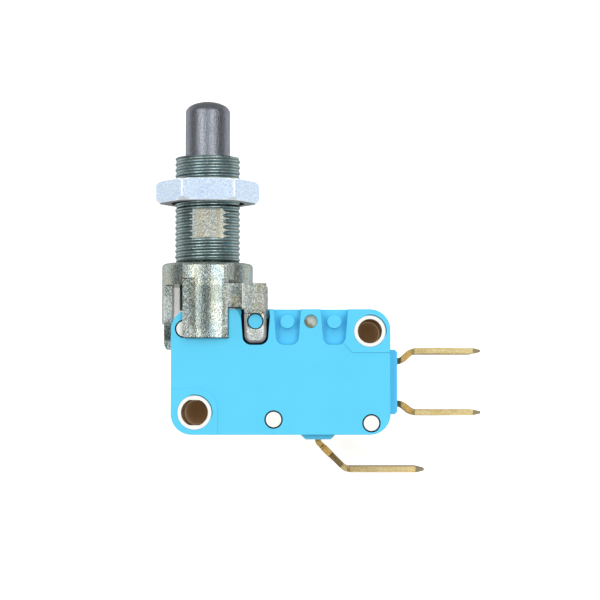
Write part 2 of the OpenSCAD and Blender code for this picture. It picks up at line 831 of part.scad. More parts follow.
// a push-on tab along a bent strip: narrow neck inside, full width outside, tapered tip
module terminal(path, x_wide) {
  n = len(path);
  tip = path[n - 1];
  t = strip_t / 2;
  outline = strip(concat([for (i = [0 : n - 2]) path[i]], [tip - [tip_l, 0], tip]),
    concat([for (i = [0 : n - 1]) t], [t * 0.45]));
  difference() {
    union() {
      across(-neck_w / 2, neck_w / 2)
        polygon(outline);
      intersection() {
        across(-tab_w / 2, tab_w / 2)
          polygon(outline);
        translate([0, 0, z0 - 20])
          linear_extrude(40)
            polygon([[x_wide, -tab_w], [tip[0] - tip_l, -tab_w / 2], [tip[0], -tab_w / 2 + tip_l],
              [tip[0], tab_w / 2 - tip_l], [tip[0] - tip_l, tab_w / 2], [x_wide, tab_w]]);
      }
    }
    translate([tip[0] - tab_hole_in, 0, tip[1] - over])
      cylinder(d = tab_hole, h = 2 * over);
  }
}

// the two end terminals leave the case at the same height as their contacts
module end_terminal(z, jog) {
  x = x1 + rib_out;
  color(brass)
    terminal(bends([[contact_x - contact_d / 2, z], [x + bend_l, z], [x + bend_l + 1.35, z + jog],
      [x1 + end_reach, z + jog]], [bend_l, bend_l]), x + 2.2);
}

module upper_terminal() {
  end_terminal(upper_z, upper_jog);
}

module lower_terminal() {
  end_terminal(lower_z, -lower_jog);
}

module common_terminal() {
  zc = z0 - common_drop;
  xa = fork_x - strip_t / 2;
  neck = [common_x, z0 - flange_out - neck_l];
  foot = [common_x + common_drop - 0.9, zc];
  color(brass)
    difference() {
      union() {
        terminal(bends([[xa - strip_t / 2, fork_base], [common_x, fork_base], neck, foot,
          [common_x + common_reach, zc]], [bend_l, neck_l, bend_l]), common_x + common_drop - 0.4);
        // shoulder on the sloping part
        across(-tab_w / 2, tab_w / 2)
          polygon(strip([neck + (foot - neck) * 0.21, neck + (foot - neck) * 0.47],
            [strip_t / 2 + 0.05, strip_t / 2 + 0.05]));
        // two prongs of the fork
        for (s = [-1, 1])
          translate([0, s * (arm_w + fork_gap) / 4, 0])
            block([xa - strip_t / 2, -(arm_w - fork_gap) / 4, fork_base],
              [xa + strip_t / 2, (arm_w - fork_gap) / 4, arm[1] + 0.85]);
      }
      // the notch that the arm rocks in
      across(-neck_w, neck_w)
        polygon([[fork_x - notch_t, arm[1]], [fork_x + over, arm[1] - over - notch_t],
          [fork_x + over, arm[1] + over + notch_t]]);
    }
}

// a contact rivet standing up from its strip
module fixed_contact(z) {
  color(silver)
    translate([contact_x, 0, z])
      cylinder(d = contact_d, h = fixed_h);
}

module upper_contact() {
  fixed_contact(upper_z - strip_t / 2 - fixed_h);
}

module lower_contact() {
  fixed_contact(lower_z + strip_t / 2);
}

// pieces that rock on the fork are drawn level and then raised to the upper contact
module rocked() {
  translate([arm[0], 0, arm[1]])
    rotate([0, -arm_swing / 2, 0])
      children();
}

module contact_arm() {
  end = contact_l + contact_d / 2 + 0.2;
  color(brass)
    rocked()
      difference() {
        block([0, -arm_w / 2, -arm_t / 2], [end, arm_w / 2, arm_t / 2]);
        block([-over, -fork_gap / 2, -over], [snap_l, fork_gap / 2, over]);
        translate([contact_l, 0, -over])
          cylinder(d = contact_d / 2 + 2 * fit_c, h = 2 * over);
      }
}

module moving_contact() {
  color(silver)
    rocked()
      translate([contact_l, 0, 0]) {
        translate([0, 0, -arm_t / 2 - contact_h])
          cylinder(d = contact_d / 2, h = arm_t + 2 * contact_h);
        for (s = [0, 1])
          mirror([0, 0, s])
            translate([0, 0, arm_t / 2 + fit_c / 2])
              cylinder(d = contact_d, h = contact_h - fit_c / 2);
      }
}

module snap_spring() {
  a = pivot + (lever_l + hook_c) * [cos(lever_swing / 2), sin(lever_swing / 2)];
  b = arm + (snap_l - hook_c) * [cos(arm_swing / 2), sin(arm_swing / 2)];
  l = norm(b - a);
  color(wire)
    translate([a[0], 0, a[1]])
      rotate([0, 90 - atan2(b[1] - a[1], b[0] - a[0]), 0])
        coil(snap_d / 2, snap_wire / 2, l, 12);
}

case_cover();
case_base();
bushing();
panel_nut();
plunger_rod();
rod_ring();
overtravel_spring();
push_pin();
return_spring();
spring_seat();
seat_ring();
switch_button();
actuator_lever();
lever_pin();
common_terminal();
upper_terminal();
lower_terminal();
upper_contact();
lower_contact();
contact_arm();
moving_contact();
snap_spring();
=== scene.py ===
# %% [markdown]
# # A panel-mount snap switch, dressed in Blender
# The real object is a small snap switch: a blue and white moulded case that hangs under a
# die-cast threaded bushing, with a steel plunger on top and three brass push-on tabs.
# Its solids arrive packed from CAD, in metres and already in place. They could simply be
# coloured, but a drawing leaves out the screw thread, the soft edges of castings and
# mouldings, and every finish, so this lesson adds exactly those.

# %% Load the packed part
import json
import math

import bmesh
import bpy
import numpy as np
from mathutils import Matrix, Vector

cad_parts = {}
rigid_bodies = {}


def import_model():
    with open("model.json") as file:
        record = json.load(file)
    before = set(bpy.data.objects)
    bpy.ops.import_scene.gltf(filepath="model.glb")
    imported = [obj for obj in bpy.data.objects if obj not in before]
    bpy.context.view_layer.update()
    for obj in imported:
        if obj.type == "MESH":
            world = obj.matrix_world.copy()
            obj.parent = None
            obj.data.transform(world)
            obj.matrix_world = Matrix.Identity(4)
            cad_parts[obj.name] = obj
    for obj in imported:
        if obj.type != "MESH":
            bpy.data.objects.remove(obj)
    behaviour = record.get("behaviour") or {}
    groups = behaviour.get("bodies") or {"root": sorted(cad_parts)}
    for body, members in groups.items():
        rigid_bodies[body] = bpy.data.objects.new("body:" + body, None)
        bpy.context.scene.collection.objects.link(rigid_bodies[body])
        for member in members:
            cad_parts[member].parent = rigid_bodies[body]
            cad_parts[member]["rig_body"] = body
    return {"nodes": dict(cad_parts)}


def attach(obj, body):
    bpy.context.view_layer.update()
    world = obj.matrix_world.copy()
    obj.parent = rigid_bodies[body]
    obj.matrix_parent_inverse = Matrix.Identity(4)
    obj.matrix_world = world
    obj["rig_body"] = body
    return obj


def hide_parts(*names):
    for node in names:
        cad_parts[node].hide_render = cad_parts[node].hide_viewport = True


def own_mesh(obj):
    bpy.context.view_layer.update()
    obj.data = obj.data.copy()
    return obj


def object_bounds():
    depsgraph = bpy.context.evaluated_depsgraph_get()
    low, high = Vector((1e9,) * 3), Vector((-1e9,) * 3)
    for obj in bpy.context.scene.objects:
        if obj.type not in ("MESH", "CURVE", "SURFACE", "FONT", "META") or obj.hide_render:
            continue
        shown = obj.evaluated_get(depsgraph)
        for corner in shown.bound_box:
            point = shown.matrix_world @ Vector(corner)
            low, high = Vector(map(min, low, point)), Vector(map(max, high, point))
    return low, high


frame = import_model()
cad_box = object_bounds()
MM = 0.001
print("CAD box in mm:", [[round(c / MM, 2) for c in corner] for corner in cad_box])

# %% [markdown]
# ## Camera
# The photograph looks straight at the side of the case through a long lens, from a point level
# with the lower part of the case, so the rings of the barrel arch upwards a little. A camera
# could be lined up by eye. Here the spacing of the two mounting holes gives the scale and the
# arch of the rings gives the distance. The frame is centred by pitching the camera up, not by
# a lens shift, because a shift would stay behind when the camera walks round the part.

# %% The camera
IMAGE = 600
PIXELS_PER_MM = 7.75
DISTANCE = 265 * MM
EYE = Vector((11.95 * MM, -DISTANCE, -17.48 * MM))
AIM = Vector((11.95 * MM, 0, -4.6 * MM))

lens = bpy.data.cameras.new("camera")
lens.sensor_width = 36
lens.lens = lens.sensor_width * PIXELS_PER_MM * DISTANCE / MM / IMAGE
lens.clip_start, lens.clip_end = 0.01, 10
camera = bpy.data.objects.new("camera", lens)
camera.location = EYE
camera.rotation_euler = (AIM - EYE).to_track_quat("-Z", "Y").to_euler()
bpy.context.scene.collection.objects.link(camera)
bpy.context.scene.camera = camera
bpy.context.scene.view_settings.view_transform = "Standard"
print("lens in mm:", round(lens.lens, 1))

# %% [markdown]
# ## Grids into meshes
# Every new surface in this lesson is a table of points: rows along a profile, columns round
# or along the piece. One helper turns such a table into quads, joining the last column back
# to the first where the surface closes, and one puts points and faces into a mesh.

# %% Grid helpers
def grid_quads(rows, columns, close_rows=False, close_columns=False):
    """Corner numbers of every quad of a grid: each point, the next in its row, and both one row on."""
    number = np.arange(rows * columns).reshape(rows, columns)
    if close_rows:
        number = np.vstack([number, number[:1]])
    if close_columns:
        number = np.hstack([number, number[:, :1]])
    corners = (number[:-1, :-1], number[:-1, 1:], number[1:, 1:], number[1:, :-1])
    return np.stack(corners, axis=-1).reshape(-1, 4)


def put_mesh(name, points, quads):
    """A mesh from an array of points in mm and an array of quads."""
    mesh = bpy.data.meshes.new(name)
    mesh.vertices.add(len(points))
    mesh.vertices.foreach_set("co", (points * MM).astype(np.float32).ravel())
    mesh.loops.add(quads.size)
    mesh.loops.foreach_set("vertex_index", quads.astype(np.int32).ravel())
    mesh.polygons.add(len(quads))
    mesh.polygons.foreach_set("loop_start", np.arange(0, quads.size, 4, dtype=np.int32))
    mesh.update(calc_edges=True)
    return mesh


def show(name, mesh):
    """An object at the origin that shows the mesh."""
    piece = bpy.data.objects.new(name, mesh)
    bpy.context.scene.collection.objects.link(piece)
    return piece


print("grid test:", grid_quads(3, 4, close_columns=True).shape)

# %% [markdown]
# ## Shader maths as Python
# A finish is a small formula: a grain, a stain, a tint between two colours. Nodes could be
# wired one by one, which hides the formula. Here an output socket is wrapped so that plain
# operators add the Math nodes.

# %% Colours and wires
def paint(red, green, blue):
    """A colour as it reads on the screen, 0 to 255, made linear for the shader."""
    c = np.array([red, green, blue]) / 255
    linear = np.where(c <= 0.04045, c / 12.92, ((c + 0.055) / 1.055) ** 2.4)
    return (*linear.tolist(), 1.0)


class Wire:
    """An output socket that arithmetic can work on; each operator adds one Math node."""

    def __init__(self, finish, socket):
        self.finish, self.socket = finish, socket

    def math(self, operation, first, second):
        return self.finish.node("Math", {"operation": operation}, {0: first, 1: second})

    def __add__(self, other):
        return self.math("ADD", self, other)

    def __sub__(self, other):
        return self.math("SUBTRACT", self, other)

    def __rsub__(self, other):
        return self.math("SUBTRACT", other, self)

    def __mul__(self, other):
        return self.math("MULTIPLY", self, other)

    def __pow__(self, other):
        return self.math("POWER", self, other)

    def __abs__(self):
        return self.math("ABSOLUTE", self, 0.0)

    __radd__, __rmul__ = __add__, __mul__


print("white is", paint(255, 255, 255))

# %% [markdown]
# ## Patterns
# Grains, bands, patches and bumps come back in every finish below. They could be kept as node
# groups, but a constant on a socket then hides inside the group. Each is a method here instead,
# which adds its nodes to the tree it belongs to. One method adds any node: its settings first,
# then the values and wires of its sockets.

# %% Patterns
NOISE_HALF = 0.3


class Finish:
    """A node tree, one method that adds any node, and short names for the patterns used here."""

    def __init__(self, owner):
        owner.use_nodes = True
        self.owner, self.tree = owner, owner.node_tree

    def node(self, kind, settings=None, values=None, out=0):
        """Adds a node: settings first, then a value or a Wire for each socket, by name or number."""
        made = self.tree.nodes.new("ShaderNode" + kind)
        for key, value in (settings or {}).items():
            setattr(made, key, value)
        for key, value in (values or {}).items():
            self.plug(made.inputs[key], value)
        return Wire(self, made.outputs[out])

    def plug(self, socket, value):
        """Links a Wire to a socket, or sets the socket's own value."""
        if isinstance(value, Wire):
            self.tree.links.new(value.socket, socket)
        else:
            socket.default_value = value

    def place(self, stretch=(1, 1, 1)):
        """Object coordinates in mm, squeezed along each axis by stretch."""
        spot = self.node("TexCoord", out="Object")
        scale = {"operation": "MULTIPLY"}
        return self.node("VectorMath", scale, {0: spot, 1: [s / MM for s in stretch]})

    def along(self, axis):
        """One object coordinate in mm."""
        return self.node("SeparateXYZ", values={0: self.place()}, out="XYZ".index(axis))

    def grain(self, size, detail=2, stretch=(1, 1, 1), contrast=1):
        """Noise whose features are about size mm wide, spread to go from 0 to 1 around 0.5."""
        settings = {"noise_dimensions": "3D", "normalize": True}
        sockets = {"Vector": self.place(stretch), "Scale": 1 / size, "Detail": detail}
        raw = self.node("TexNoise", settings, sockets)
        half = NOISE_HALF / contrast
        return self.node("MapRange", {"clamp": True}, {0: raw, 1: 0.5 - half, 2: 0.5 + half})

    def step(self, value, start, end):
        """0 below start, 1 above end, smooth between."""
        return self.node("MapRange", {"interpolation_type": "SMOOTHSTEP"}, {0: value, 1: start, 2: end})

    def band(self, value, start, end, soft=0.1):
        """1 between start and end, fading to 0 over soft outside them."""
        return self.step(value, start - soft, start) * (1 - self.step(value, end, end + soft))

    def corners(self, reach):
        """1 on open faces, less within about reach mm of an inner corner."""
        settings = {"only_local": True, "samples": 8}
        return self.node("AmbientOcclusion", settings, {"Distance": reach * MM}, out="AO")

    def patch(self, x, z, half_x, half_z, share, soft=0.3):
        """An oblong seen from the side: share inside it, fading to 0 over soft mm outside it."""
        over_x = self.step(abs(self.along("X") - x), half_x, half_x + soft)
        over_z = self.step(abs(self.along("Z") - z), half_z, half_z + soft)
        return (1 - over_x) * (1 - over_z) * share

    def crescent(self, x, z, radius, share, width=0.1):
        """A line round a point seen from the side, width mm wide, that shows to the upper right only."""
        off_x, off_z = self.along("X") - x, self.along("Z") - z
        line = self.band((off_x ** 2 + off_z ** 2) ** 0.5, radius, radius + width, soft=width / 2)
        return line * self.step(off_x + off_z, 1.0, 2.2) * share

    def tint(self, share, first, second):
        """Colour that goes from first to second as share goes from 0 to 1."""
        return self.node("Mix", {"data_type": "RGBA"}, {0: share, 6: first, 7: second}, out=2)

    def bumps(self, height, depth):
        """Normal of a surface that height, 0 to 1, raises by depth mm."""
        return self.node("Bump", values={"Height": height, "Distance": depth * MM, "Strength": 1.0})


class Coat(Finish):
    """A material: one Principled shader, with fixed values on its sockets and patterns fed in."""

    def __init__(self, name, **fixed):
        super().__init__(bpy.data.materials.new(name))
        self.shader = self.tree.nodes["Principled BSDF"]
        self.feed(**fixed)

    def feed(self, **values):
        """Gives a value or a Wire to each socket of the shader, base_color to Base Color and so on."""
        for key, value in values.items():
            socket = key.replace("_", " ").title().replace("Ior", "IOR")
            self.plug(self.shader.inputs[socket], value)


print("patterns:", [name for name in vars(Finish) if not name.startswith("_")])

# %% [markdown]
# ## Studio
# The photograph is a product shot on white. Two tall softboxes in front draw the two pale bands
# on the plunger, the room around them is dark, and that contrast is what makes metal read as
# metal. An image of a studio could light the scene, but a room is easy to write as a formula of
# the direction: dark in front, pale to both sides behind the part, grey at its back, dim above
# and darker below. Only polished surfaces see that room. The camera sees white, and the diffuse
# light stays even. The other five lamps light matt surfaces and aren't mirrored in metal.

# %% The room
ROOM_LIGHT, ROOM_LEAN = 0.36, 0.9
ROOM_FRONT, ROOM_SIDE, ROOM_BACK, ROOM_TOP, ROOM_TABLE = 0.22, 0.86, 0.45, 0.32, 0.14
SIDE_TURN, BACK_TURN, TOP_RISE, TABLE_DROP = (94, 112), (138, 158), (0.4, 0.8), (0.3, 0.7)
world = bpy.data.worlds.new("studio")
bpy.context.scene.world = world
sky = Finish(world)
toward = sky.node("TexCoord", out="Generated")
x, y, z = (sky.node("SeparateXYZ", values={0: toward}, out=axis) for axis in "XYZ")
aside = abs(sky.node("Math", {"operation": "ARCTAN2"}, {0: x, 1: 0 - y}))
side, back = (sky.step(aside, *map(math.radians, turn)) for turn in (SIDE_TURN, BACK_TURN))
wall = ROOM_FRONT + side * (ROOM_SIDE - ROOM_FRONT) + back * (ROOM_BACK - ROOM_SIDE)
top, table = sky.step(z, *TOP_RISE), sky.step(0 - z, *TABLE_DROP)
room = wall * (1 - top) * (1 - table) + top * ROOM_TOP + table * ROOM_TABLE
camera_ray, glossy_ray, clear_ray = (
    sky.node("LightPath", out=f"Is {kind} Ray") for kind in ("Camera", "Glossy", "Transmission"))
plain = camera_ray + clear_ray
background = sky.tree.nodes["Background"]
background.inputs["Color"].default_value = (1, 1, 1, 1)
sky.plug(background.inputs["Strength"],
         plain + glossy_ray * room + (1 - plain - glossy_ray) * (1 + z * ROOM_LEAN) * ROOM_LIGHT)
print("nodes of the room:", len(sky.tree.nodes))

# %% Softboxes
LAMP_REACH, LAMP_AIM = 0.5, Vector((0.008, 0, 0))


def softbox(name, azimuth, width, height, level, rise=2, mirrored=True):
    """A lamp LAMP_REACH metres away, level times as bright as white paper. Azimuth 0 is the camera's side,
    and rise is the angle above the part. Metal doesn't show a lamp that isn't mirrored."""
    lamp = bpy.data.lights.new(name, "AREA")
    lamp.shape, lamp.size, lamp.size_y = "RECTANGLE", width, height
    lamp.energy = level * math.pi * width * height
    box = bpy.data.objects.new(name, lamp)
    turn, up = math.radians(azimuth), math.radians(rise)
    flat = LAMP_REACH * math.cos(up)
    box.location = (flat * math.sin(turn), -flat * math.cos(turn), LAMP_REACH * math.sin(up))
    box.rotation_euler = (LAMP_AIM - box.location).to_track_quat("-Z", "Y").to_euler()
    box.visible_camera, box.visible_glossy = False, mirrored
    bpy.context.scene.collection.objects.link(box)


softbox("front_left", -30, width=0.19, height=0.5, level=2.8)
softbox("front_right", 26.5, width=0.18, height=0.5, level=2.8)
softbox("overhead", 40, width=0.3, height=0.3, level=1.8, rise=55, mirrored=False)
softbox("side_left", -80, width=0.2, height=0.4, level=5.0, mirrored=False)
softbox("side_right", 80, width=0.2, height=0.4, level=5.0, mirrored=False)
softbox("back_left", -150, width=0.3, height=0.5, level=1.6, mirrored=False)
softbox("back_right", 150, width=0.3, height=0.5, level=1.6, mirrored=False)

# %% [markdown]
# ## Floor and table
# The part is shown over a plain pale floor, which keeps its shadow. In the photograph the part
# lies on its back, so a pale table stands right behind it. It keeps a faint shadow around the tabs,
# and an oblong of painted shade on it fills the gap under the collar with grey. A solid slab would
# hide the part from other sides, so floor and table are sheets that show from one side only. White
# paper alone would render slightly grey, so both also glow a little, and the glow grows to plain
# white further out, where the end of a sheet would show as a line. Down the two mounting holes the
# table is brown and in deep shade, so a small disc of painted shade, brown and without glow, closes
# the back of each hole.

# %% Sheets and paper
FADE = 75, 260


def sheet_mesh(name, corner, across, up, steps=9):
    """A flat grid: corner plus u times one side plus v times the other, u and v from 0 to 1."""
    u, v = np.meshgrid(np.linspace(0, 1, steps), np.linspace(0, 1, steps))
    points = np.array(corner) + u[..., None] * np.array(across) + v[..., None] * np.array(up)
    return put_mesh(name, points.reshape(-1, 3), grid_quads(steps, steps))


def disc_mesh(name, x, y, z, radius, rings=4, spokes=48):
    """A flat disc that faces the camera: rings of growing radius, a full turn in each."""
    turn = np.linspace(0, 2 * np.pi, spokes, endpoint=False)
    r, a = np.meshgrid(np.linspace(0.02, radius, rings), turn, indexing="ij")
    points = np.stack([x + r * np.cos(a), np.full_like(r, y), z - r * np.sin(a)], axis=-1)
    return put_mesh(name, points.reshape(-1, 3), grid_quads(rings, spokes, close_columns=True))


def paper(name, tone, glow, shade=None):
    """Matt paper with a faint glow, which grows to plain white between the two distances of FADE, in mm
    from the part, and stops in an oblong of shade. From behind it is clear, so that it hides nothing."""
    coat = Coat(name, base_color=tone, roughness=0.9, emission_strength=1.0)
    distance = coat.node("VectorMath", {"operation": "LENGTH"}, {0: coat.place()}, out="Value")
    level = coat.step(distance, *FADE) * (1 - glow) + glow
    if shade:
        level = level * (1 - coat.patch(*shade))
    coat.feed(emission_color=coat.tint(level, (0, 0, 0, 1), (1, 1, 1, 1)))
    clear, reverse = coat.node("BsdfTransparent"), coat.node("NewGeometry", out="Backfacing")
    both = coat.node("MixShader", values={0: reverse, 1: Wire(coat, coat.shader.outputs[0]), 2: clear})
    coat.plug(coat.tree.nodes["Material Output"].inputs["Surface"], both)
    return coat


def set_stage(name, mesh, coat):
    """Puts a mesh on the stage: it shows what falls on it, and throws nothing back at the part."""
    piece = show(name, mesh)
    mesh.materials.append(coat.owner)
    for ray in ("diffuse", "glossy", "transmission", "volume_scatter", "shadow"):
        setattr(piece, "visible_" + ray, False)
    print("stage:", name)


print("paper fades to white between", FADE, "mm")

# %% Floor, table and discs
FLOOR_Z, FLOOR_HALF, TABLE_Y, TABLE_HALF = -52, 2500, 6.05, 900
COLLAR_SHADE = (-4.3, -4.0, 0.9, 2.6, 1, 1)
ROUND_HOLE, FLAT_HOLE, CASE_BACK, HOLE_END = (20.8, -8.8), (-1.4, -19.1), 5.2, 2.0
pale = paper("pale_floor", paint(246, 246, 244), 0.3)
width = 2 * FLOOR_HALF
floor = sheet_mesh("floor", (-FLOOR_HALF, -FLOOR_HALF, FLOOR_Z), (width, 0, 0), (0, width, 0))
set_stage("floor", floor, pale)
white_table = paper("white_table", paint(248, 246, 244), 0.5, shade=COLLAR_SHADE)
width = 2 * TABLE_HALF
table = sheet_mesh("table", (-TABLE_HALF, TABLE_Y, -TABLE_HALF), (width, 0, 0), (0, 0, width))
set_stage("table", table, white_table)
# Painted shade: a brown disc without glow stands for the table in deep shade down each hole.
shaded_hole_disc = paper("shaded_hole_disc", paint(226, 200, 168), 0.0)
for name, (x, z) in (("round_hole_end", ROUND_HOLE), ("flat_hole_end", FLAT_HOLE)):
    set_stage(name, disc_mesh(name, x, CASE_BACK, z, HOLE_END), shaded_hole_disc)

# %% [markdown]
# ## Soft edges
# No casting or moulding has a knife edge: the tool's corners and the tumbling after it leave
# them slightly round, and that is what catches the light. A live Bevel modifier could do it,
# but the CAD mesh is loose triangles, so a copy is merged, its flat faces are joined, and the
# sharp edges are bevelled in that copy. The faces of the bevel get their own material slot, for
# the wear along edges; on the zinc casting and the nut that finish is also a painted highlight,
# and on the blue cover and the brass tabs also painted shade. Where the photograph shows a wider,
# flat band along an edge, a chamfer is cut first, in a slot of its own.

# %% Merged copies
def merged(node, moved=None):
    """The node's triangles with shared corners, and each flat face in one piece. Before that, moved may
    shift some points: it takes and gives the array of them all, in mm."""
    mesh = frame["nodes"][node].data.copy()
    if moved:
        points = np.empty(len(mesh.vertices) * 3, np.float32)
        mesh.vertices.foreach_get("co", points)
        mesh.vertices.foreach_set("co", (moved(points.reshape(-1, 3) / MM) * MM).ravel())
    solid = bmesh.new()
    solid.from_mesh(mesh)
    bpy.data.meshes.remove(mesh)
    bmesh.ops.remove_doubles(solid, verts=solid.verts, dist=1e-4 * MM)
    bmesh.ops.dissolve_limit(solid, angle_limit=math.radians(0.05), verts=solid.verts, edges=solid.edges)
    return solid


trial = merged("lever_pin")
print("faces of the lever's pin, merged:", len(trial.faces))
trial.free()

# %% Bevels and chamfers
EDGE_SLOT, CRISP_SLOT = 1, 3
CHAMFER_TURN = math.radians(60)


def soften(solid, width, angle=32, up_to=100):
    """Bevels every edge that turns by more than angle degrees, width mm to each side, as far as x is up_to
    mm. Edges of faces in CRISP_SLOT and the slots after it stay sharp."""
    sharp = [e for e in solid.edges if e.is_manifold and e.calc_face_angle() > math.radians(angle)
             and max(f.material_index for f in e.link_faces) < CRISP_SLOT
             and max(v.co.x for v in e.verts) < up_to * MM]
    bmesh.ops.bevel(solid, geom=sharp, offset=width * MM, segments=2, profile=0.5,
                    affect="EDGES", clamp_overlap=True, material=EDGE_SLOT)
    return len(sharp)


def chamfer(solid, width, index, wanted):
    """Cuts a flat band, width mm to each side, along the outer edges that turn by more than CHAMFER_TURN and
    whose every end is wanted(x, y, z) in mm."""
    picked = [e for e in solid.edges if e.is_manifold and e.is_convex
              and all(wanted(*(v.co / MM)) for v in e.verts) and e.calc_face_angle() > CHAMFER_TURN]
    bmesh.ops.bevel(solid, geom=picked, offset=width * MM, segments=1, profile=0.5,
                    affect="EDGES", clamp_overlap=False, material=index)
    return len(picked)


trial = merged("lever_pin")
print("soft edges on the lever's pin:", soften(trial, 0.02))
trial.free()

# %% Pieces that stand for nodes
CREASE = math.radians(42)


def dress(name, solid, node, coats, slim=0):
    """Makes the solid a piece that stands for its CAD node and rides where the node rides. Each point of it
    is first drawn in along its normal by slim mm, and kept inside the CAD box."""
    mesh = bpy.data.meshes.new(name)
    solid.to_mesh(mesh)
    solid.free()
    points, normals = np.empty((2, len(mesh.vertices), 3), np.float32)
    mesh.vertices.foreach_get("co", points.ravel())
    mesh.vertex_normals.foreach_get("vector", normals.ravel())
    points = np.clip(points - normals * slim * MM, *cad_box).astype(np.float32)
    mesh.vertices.foreach_set("co", points.ravel())
    mesh.polygons.foreach_set("use_smooth", np.ones(len(mesh.polygons), bool))
    mesh.set_sharp_from_angle(angle=CREASE)
    for coat in coats:
        mesh.materials.append(coat.owner)
    piece = show(name, mesh)
    piece.modifiers.new("even_shading", "WEIGHTED_NORMAL").keep_sharp = True
    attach(piece, frame["nodes"][node]["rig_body"])
    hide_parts(node)
    print(name, "faces:", len(mesh.polygons))
    return piece


print("nodes to dress or to coat:", len(frame["nodes"]))

# %% [markdown]
# ## Moulded case
# The cover is blue and the base is white, both moulded in a glass-filled resin. A moulding is
# never one flat colour: the flow leaves faint clouds, the spark-eroded tool a fine grain, and
# handling polishes the edges. Three noises of different size give the three effects. The pocket
# of the snap tab, the bores, the post in the sight hole and the gaps round the tubes lie in deeper
# shade than these lamps give them, so they get darker finishes of their own, which are painted
# shade. Painted shade also darkens the inner corners, the rib at the end and the edges of the blue.

# %% Resin finish
END_RIB, GAP_SHADE = (23.25, 23.35), paint(10, 34, 50)
TUBE_GAPS = (*ROUND_HOLE, 2.0, 0.9), (*FLAT_HOLE, 2.17, 0.9)


def resin(name, light, dark, worn_and_rib_shade, rough, corner_shade, gaps=()):
    """Clouds between two tones, a grain of 0.09 mm in the bump, and a gloss that varies with both. The rib
    at the end takes half of the edge tone, which on the blue is painted shade. Painted shade dims the inner
    corners, and a thin painted shadow lies in the gaps round tubes. The edges take the edge tone, as wear
    and on the blue also as painted shade."""
    coat = Coat(name, roughness=rough)
    cloud, speck = coat.grain(5.0), coat.grain(0.09, detail=3)
    tone = coat.tint(cloud * 0.6 + speck * 0.4, dark, light)
    # Painted shade on the rib at the end, on the blue.
    tone = coat.tint(coat.step(coat.along("X"), *END_RIB) * 0.5, tone, worn_and_rib_shade)
    for gap in gaps:
        tone = coat.tint(coat.crescent(*gap), tone, GAP_SHADE)
    # Painted shade in the inner corners, where the occlusion is low.
    coat.feed(base_color=coat.tint(coat.step(coat.corners(0.3), 0.3, 0.8), corner_shade, tone),
              roughness=rough + (cloud - 0.5) * 0.12 + speck * 0.08,
              normal=coat.bumps(speck, 0.004))
    edge = Coat(name + "_edge", roughness=rough)
    speck = edge.grain(0.12)
    # The edges: wear, and on the blue also painted shade.
    edge.feed(base_color=edge.tint(speck * 0.5, worn_and_rib_shade, light), roughness=rough - 0.12 + speck * 0.1)
    return coat, edge


blue = resin("blue_resin", paint(91, 212, 249), paint(85, 206, 244), paint(71, 187, 232), 0.42,
             corner_shade=paint(36, 140, 194), gaps=TUBE_GAPS)
white = resin("white_resin", paint(248, 249, 245), paint(242, 243, 238), paint(252, 252, 250), 0.45,
              corner_shade=paint(196, 194, 186))
deep_blue, _ = resin("blue_in_shade", paint(15, 66, 93), paint(10, 50, 72), paint(15, 66, 93), 0.6,
                     corner_shade=paint(6, 34, 50))
deep_blue.feed(specular_ior_level=0.1)
print("resins:", [coat.owner.name for coat in (*blue, *white, deep_blue)])

# %% Bores and sight post
CASE_FACE, FRONT_LIT, BACK_LIT = 5.15, (0.15, 1.1), (0.05, 0.3)
SIGHT_POST = (13.325, -7.55)


def shaded_bore(name, mouth, deep):
    """The wall of a hole through the case: light at both mouths, more so in front, brown further in."""
    coat = Coat(name, roughness=0.8, specular_ior_level=0.0)
    y = coat.along("Y")
    inside = coat.step(y + CASE_FACE, *FRONT_LIT) * coat.step(CASE_FACE - y, *BACK_LIT)
    coat.feed(base_color=coat.tint(inside, mouth, deep))
    return coat


def post_face(name, lit, dim):
    """The end of the post in the sight hole, with painted shade that darkens it towards its lower corner."""
    coat = Coat(name, roughness=0.5)
    down = (SIGHT_POST[0] - coat.along("X")) * 0.6 + (SIGHT_POST[1] - coat.along("Z")) * 0.8
    cloud = coat.grain(0.4, detail=3)
    coat.feed(base_color=coat.tint(coat.step(down + cloud * 0.5, 0.2, 0.75), lit, dim))
    return coat


bore_wall = shaded_bore("bore_in_shade", paint(232, 226, 214), paint(184, 157, 124))
post_end = post_face("post_resin", paint(236, 220, 196), paint(160, 144, 108))
print("in shade:", [coat.owner.name for coat in (bore_wall, post_end)])

# %% [markdown]
# ## Cover and base
# Both halves are softened copies of their solids. The photograph shows the walls of the snap
# pockets almost straight, so a few points of each copy are moved before its edges are softened.
# Then the faces that lie in shade are told from the rest by where they are and which way they
# point, and get the slot of their darker finish.

# %% Pockets
CASE_TOP, POCKETS, POCKET_MOUTH, MOUTH_IN = -6.0, (6.3, 10.35, 16.3), 2.0, 0.27
POCKET_HALF, POCKET_END, POCKET_FLOOR, WIDER = 1.9, -10.7, 3.9, 0.1
TAB_BOSS, BOSS_REACH, TOUCH = (POCKETS[0], -7.55), 1.0, 0.01


def straight_pockets(points):
    """Draws the flared mouths of the snap pockets in by MOUTH_IN, which leaves their walls almost straight,
    and moves the walls of the pocket that holds the snap tab outwards, by WIDER times their place in it."""
    x, y, z = points.T
    sides = np.abs(y) > POCKET_FLOOR
    for middle in POCKETS:
        flared = np.abs(np.abs(x - middle) - POCKET_MOUTH) < 2 * TOUCH
        mouth = (np.abs(z - CASE_TOP) < TOUCH) & flared & sides
        x[mouth] += np.sign(middle - x[mouth]) * MOUTH_IN
    off_middle = x - TAB_BOSS[0]
    inner = (np.abs(off_middle) < POCKET_HALF) & (z < CASE_TOP - TOUCH) & (z > POCKET_END)
    wall = inner & sides & (np.hypot(off_middle, z - TAB_BOSS[1]) > BOSS_REACH)
    x[wall] += off_middle[wall] * WIDER
    return points


